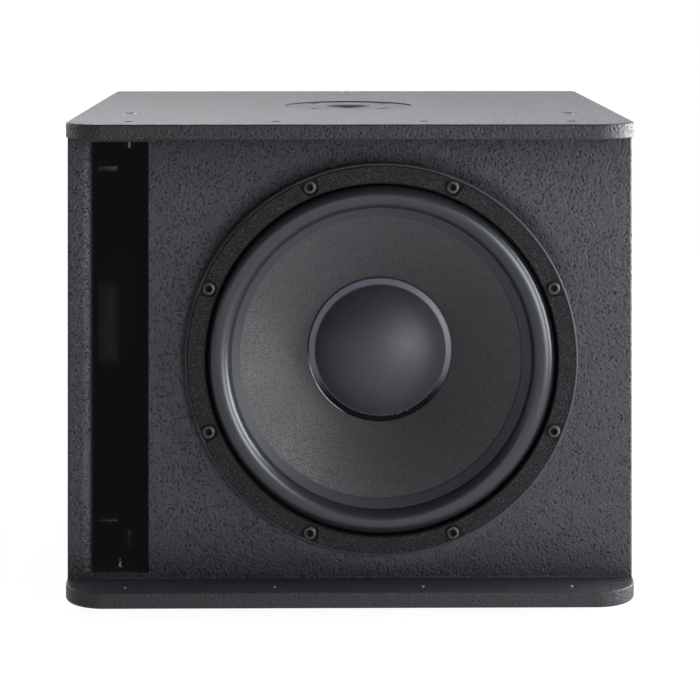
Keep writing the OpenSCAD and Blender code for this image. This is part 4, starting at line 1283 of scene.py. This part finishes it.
def dust_cap():
    """Cloth dome with a frayed edge, on a smooth skirt that is glued to the cone."""
    random.seed(15)
    sphere = (DOME_R ** 2 + DOME_H ** 2) / (2 * DOME_H)
    foot = DOME_FOOT
    count, steps = 40, 480
    fray = [0.0] * steps
    for k in range(steps):
        if k % 3 == 0:
            tooth = random.random() ** 2
        low_right = max(0.0, math.cos(TURN * k / steps - math.radians(65)))
        fray[k] = (0.1 + 2.4 * low_right ** 3) * tooth

    def dome(r, lift):
        return foot - DOME_H + sphere - math.sqrt((sphere - lift) ** 2 - r * r)

    rings = []
    outside = [(k / count, 0) for k in range(count + 1)]
    inside = [(k / count, 0.9) for k in range(count, -1, -1)]
    for share, lift in outside + inside:
        edge = DOME_R - 0.3 - lift * 0.4
        ring = []
        for k in range(steps if share else 1):
            a = TURN * k / steps
            r = share * edge + (fray[k] if share == 1 else 0)
            ring.append((r * math.cos(a), r * math.sin(a), dome(share * edge, lift)))
        rings.append(ring)
    skirt = turned([(DOME_R - 1.6, foot + 0.2, 0.2), (DOME_R + 0.2, foot - 0.1, 0.4),
                    (CAP_R - 0.9, CAP_DEPTH - 1.9, 0.4), (CAP_R - 0.1, CAP_DEPTH - 1.2, 0.3),
                    (CAP_R - 0.1, CAP_DEPTH - 0.3, 0.1),
                    (CAP_R - 1.5, CAP_DEPTH - 0.7, 0.2), (DOME_R - 1.4, foot + 1.1, 0.2)], 0.3, 256)
    piece("cloth_dust_cap", (skin(rings) + skirt).moved(DRIVER), CLOTH, ["dust_cap"],
          body="cone_assembly")
    path = []
    for k in range(121):
        a = TURN * k / 120
        path.append(Vector(((CAP_R + 0.35) * math.cos(a), (CAP_R + 0.35) * math.sin(a), CAP_DEPTH - 0.75)))
    middle = 0.4

    def bead(t):
        return 0.22 + 0.4 * smooth(1 - abs(t - middle) / 0.11)

    piece("cap_glue_bead", tube(path[:-1], bead, 12).moved(DRIVER), GLUE,
          body="cone_assembly")


def spider():
    waves, steps = 5, 100
    inner, outer = COIL_R + 4, 100
    mid = 85.4

    def wave(k, lift):
        return (inner + (outer - inner) * k / steps, mid + 1.8 * math.sin(TURN * waves * k / steps) + lift, 0)

    front = [(COIL_R + 0.2, mid, 0), *[wave(k, 0) for k in range(steps + 1)]]
    flange = [(101.5, 87.3, 0), (108, 87.3, 0), (108, 87.95, 0), (101, 87.95, 0)]
    back = [*[wave(k, 0.6) for k in range(steps, -1, -1)], (COIL_R + 0.2, mid + 0.6, 0)]
    shell = turned(front + flange + back, 0, 160).moved(DRIVER)
    thing = piece("corrugated_spider", shell, SPIDER, ["spider"], body=None, crease=60)
    blend_by_radius(thing, lambda r: smooth((101 - r) / (101 - COIL_R - 1)))


def motor():
    def part(name, corners, material, node, body="cabinet", radius=0.8):
        piece(name, turned(corners, radius, 128, 3).moved(DRIVER), material, [node], body)

    def square(inner, outer, front, rear):
        return [(inner, front), (outer, front), (outer, rear), (inner, rear)]

    part("front_motor_plate", square(52.3, 100, 112, 122), MOTOR_STEEL, "top_plate")
    part("ferrite_magnet", square(58, 110, 122, 147), FERRITE, "magnet_ring", radius=1.6)
    yoke = [(17, 112, 1), (49, 112, 1), (49, 127, 0.4), (46, 127), (46, 147), (100, 147), (100, 157, 2),
            (24, 157, 2), (17, 150, 3)]
    part("yoke_and_pole", yoke, MOTOR_STEEL, "pole_yoke")
    part("copper_shorting_ring", square(46.05, 49, 127.2, 146.8), COPPER, "shorting_ring",
         radius=0.3)
    part("foil_coil_former", square(49.65, 50.05, CONE_NECK - 8, 127), FOIL, "voice_coil_former",
         "cone_assembly", 0.05)
    part("wound_voice_coil", square(50.1, 51.2, 108, 126), COPPER, "voice_coil",
         "cone_assembly", 0.3)
    bolt = flipped(screw(5, 3, 3, 14.9, 2.2, 2.0, 0.3), 104)
    screws = around(bolt, [TURN * k / 6 for k in range(6)], 80).moved(DRIVER)
    piece("motor_cap_screws", screws, ZINC, ["motor_screws"])
    low, high = box("terminal_block")
    block = put(board(rectangle(high.x - low.x, 21, 1.5), 98, 110.5, 0.6, 0.8, 4), 0, 124.5, 0)
    block = carved(block, pin(118.1, 90, 115, 160))
    tab = board(rectangle(6, 1.2, 0.3), 109.8, 119.8, 0.2, 0.3, 2)
    tabs = joined(put(tab, s * 10, 133.8, 0) for s in (-1, 1))
    piece("two_pole_terminal", (block + tabs).moved(DRIVER), PLASTIC, ["terminal_block"])


def tinsel():
    """Braided leads from the terminal block to the cone, drooping between them."""
    shells = []
    for s in (-1, 1):
        knots = [(s * 10, 135, 96.8), (s * 11, 135, 80), (s * 11, 116, 70), (s * 10, 93, 50.5)]
        shells.append(tube(smooth_path(knots, 12), lambda t: 0.95 + 0.05 * math.sin(t * 160), 12))
    thing = piece("braided_tinsel_leads", joined(shells).moved(DRIVER), COPPER,
                  ["tinsel_leads"], body=None)
    blend_by_radius(thing, lambda r: smooth((134 - r) / 40))


def build():
    top_panel()
    bottom_panel()
    side_panels()
    rear_panel()
    front_baffle()
    acoustic_foam()
    wooden_parts_kept()
    pole_flange()
    t_nuts()
    inserts()
    handles()
    connector_field()
    feet()
    speaker_cable()
    basket()
    gasket()
    bolts()
    surround()
    cone()
    dust_cap()
    spider()
    motor()
    tinsel()


# ---------------------------------------------------------------- studio

def world_light():
    """White to the camera. Other rays see a bright room behind the cabinet and a dark one before it."""
    world = bpy.data.worlds.new("studio")
    world.use_nodes = True
    tree = world.node_tree
    tree.nodes.clear()

    def node(kind, inputs=None, **settings):
        return add_node(tree, kind, inputs, **settings)

    toward = node("SeparateXYZ", {0: node("TexCoord").outputs["Generated"]})

    def ramp(axis, start, end, first, last):
        made = node("MapRange", {"Value": toward.outputs[axis], "From Min": start, "From Max": end,
                                 "To Min": first, "To Max": last}, interpolation_type="SMOOTHSTEP")
        return made.outputs[0]

    def product(a, b):
        return node("Math", {0: a, 1: b}, operation="MULTIPLY").outputs[0]

    behind = ramp(1, -0.2, 0.5, 0.11, 1.0)
    high = ramp(2, 0.15, 0.7, 1.0, 0.4)
    horizon = product(ramp(2, 0.08, 0.24, 6.8, 1.0), ramp(2, 0.045, 0.095, 0.0, 1.0))
    leftward = ramp(0, -0.2, 0.2, 1.18, 0.82)
    level = product(product(behind, high), product(horizon, leftward))
    lit = node("Background", {"Color": (0.97, 0.965, 1, 1), "Strength": level}).outputs[0]
    seen = node("Background", {"Color": (1, 1, 1, 1), "Strength": 1.0}).outputs[0]
    camera_ray = node("LightPath").outputs["Is Camera Ray"]
    both = node("MixShader", {0: camera_ray, 1: lit, 2: seen}).outputs[0]
    node("OutputWorld", {"Surface": both})
    bpy.context.scene.world = world


def floor():
    """A large pale floor that fades into the white background, with soft shadows."""
    mesh = bpy.data.meshes.new("studio_floor")
    reach = 60
    mesh.from_pydata([(-reach, -reach, 0), (reach, -reach, 0), (reach, reach, 0), (-reach, reach, 0)], [],
                     [(0, 1, 2, 3)])
    thing = bpy.data.objects.new("studio_floor", mesh)
    bpy.context.scene.collection.objects.link(thing)
    p = Paint("studio_floor")
    p.colour((0.86, 0.86, 0.87))
    p.set("Roughness", 0.8)
    glow = p.node("Emission", {"Color": (1, 1, 1, 1), "Strength": 1.3}).outputs[0]
    rays = p.node("LightPath").outputs
    mirrored = p.node("Emission", {"Color": (1, 1, 1, 1), "Strength": 0.5}).outputs[0]
    lit = p.node("MixShader", {0: rays["Is Glossy Ray"], 1: p.surface.outputs[0], 2: mirrored}).outputs[0]
    share = p.times(rays["Is Camera Ray"], 0.72)
    both = p.node("MixShader", {0: share, 1: lit, 2: glow}).outputs[0]
    p.tree.links.new(both, p.tree.nodes["Material Output"].inputs["Surface"])
    mesh.materials.append(p.material)
    thing.visible_shadow = False


def softbox(name, direction, distance, size, power, target):
    """An area light that looks at the target from a direction."""
    lamp = bpy.data.lights.new(name, "AREA")
    lamp.shape = "RECTANGLE"
    lamp.size, lamp.size_y = size
    lamp.energy = power
    thing = bpy.data.objects.new(name, lamp)
    back = Vector(direction).normalized()
    thing.location = target + back * distance
    thing.rotation_mode = "QUATERNION"
    thing.rotation_quaternion = back.to_track_quat("Z", "Y")
    bpy.context.scene.collection.objects.link(thing)


def lights():
    centre = Vector((0, BAFFLE_Y * MM, 0.14))
    softbox("right_card", (1.0, 0.2, 0.0), 1.6, (2.1, 2.0), 130, centre)
    softbox("front_right_softbox", (0.60, -0.80, -0.08), 1.7, (0.7, 1.7), 25, centre)
    softbox("front_fill", (-0.35, -1.0, 0.0), 3.2, (2.4, 1.8), 7.5, centre)


def camera():
    """The camera stands level, high and slightly left of the middle. A lens shift aims it down."""
    data = bpy.data.cameras.new("camera")
    data.sensor_width = 36
    data.lens = 107
    data.shift_x = -0.0006
    thing = bpy.data.objects.new("camera", data)
    place = Vector((-21.9, FRONT_Y - 2031, TOP_Z + 155.6)) * MM
    thing.location = place
    thing.rotation_euler = (math.pi / 2, 0, math.radians(-0.61))
    bpy.context.scene.collection.objects.link(thing)
    bpy.context.scene.camera = thing
    shift = data.driver_add("shift_y").driver
    shift.type = "SCRIPTED"
    variable = shift.variables.new()
    variable.name = "y"
    variable.type = "TRANSFORMS"
    variable.targets[0].id = thing
    variable.targets[0].transform_type = "LOC_Y"
    variable.targets[0].transform_space = "WORLD_SPACE"
    shift.expression = f"-0.5499 * (abs(y - {place.y:.4f}) < 0.0005)"


build()
world_light()
floor()
lights()
camera()
bpy.context.scene.view_settings.view_transform = "Standard"
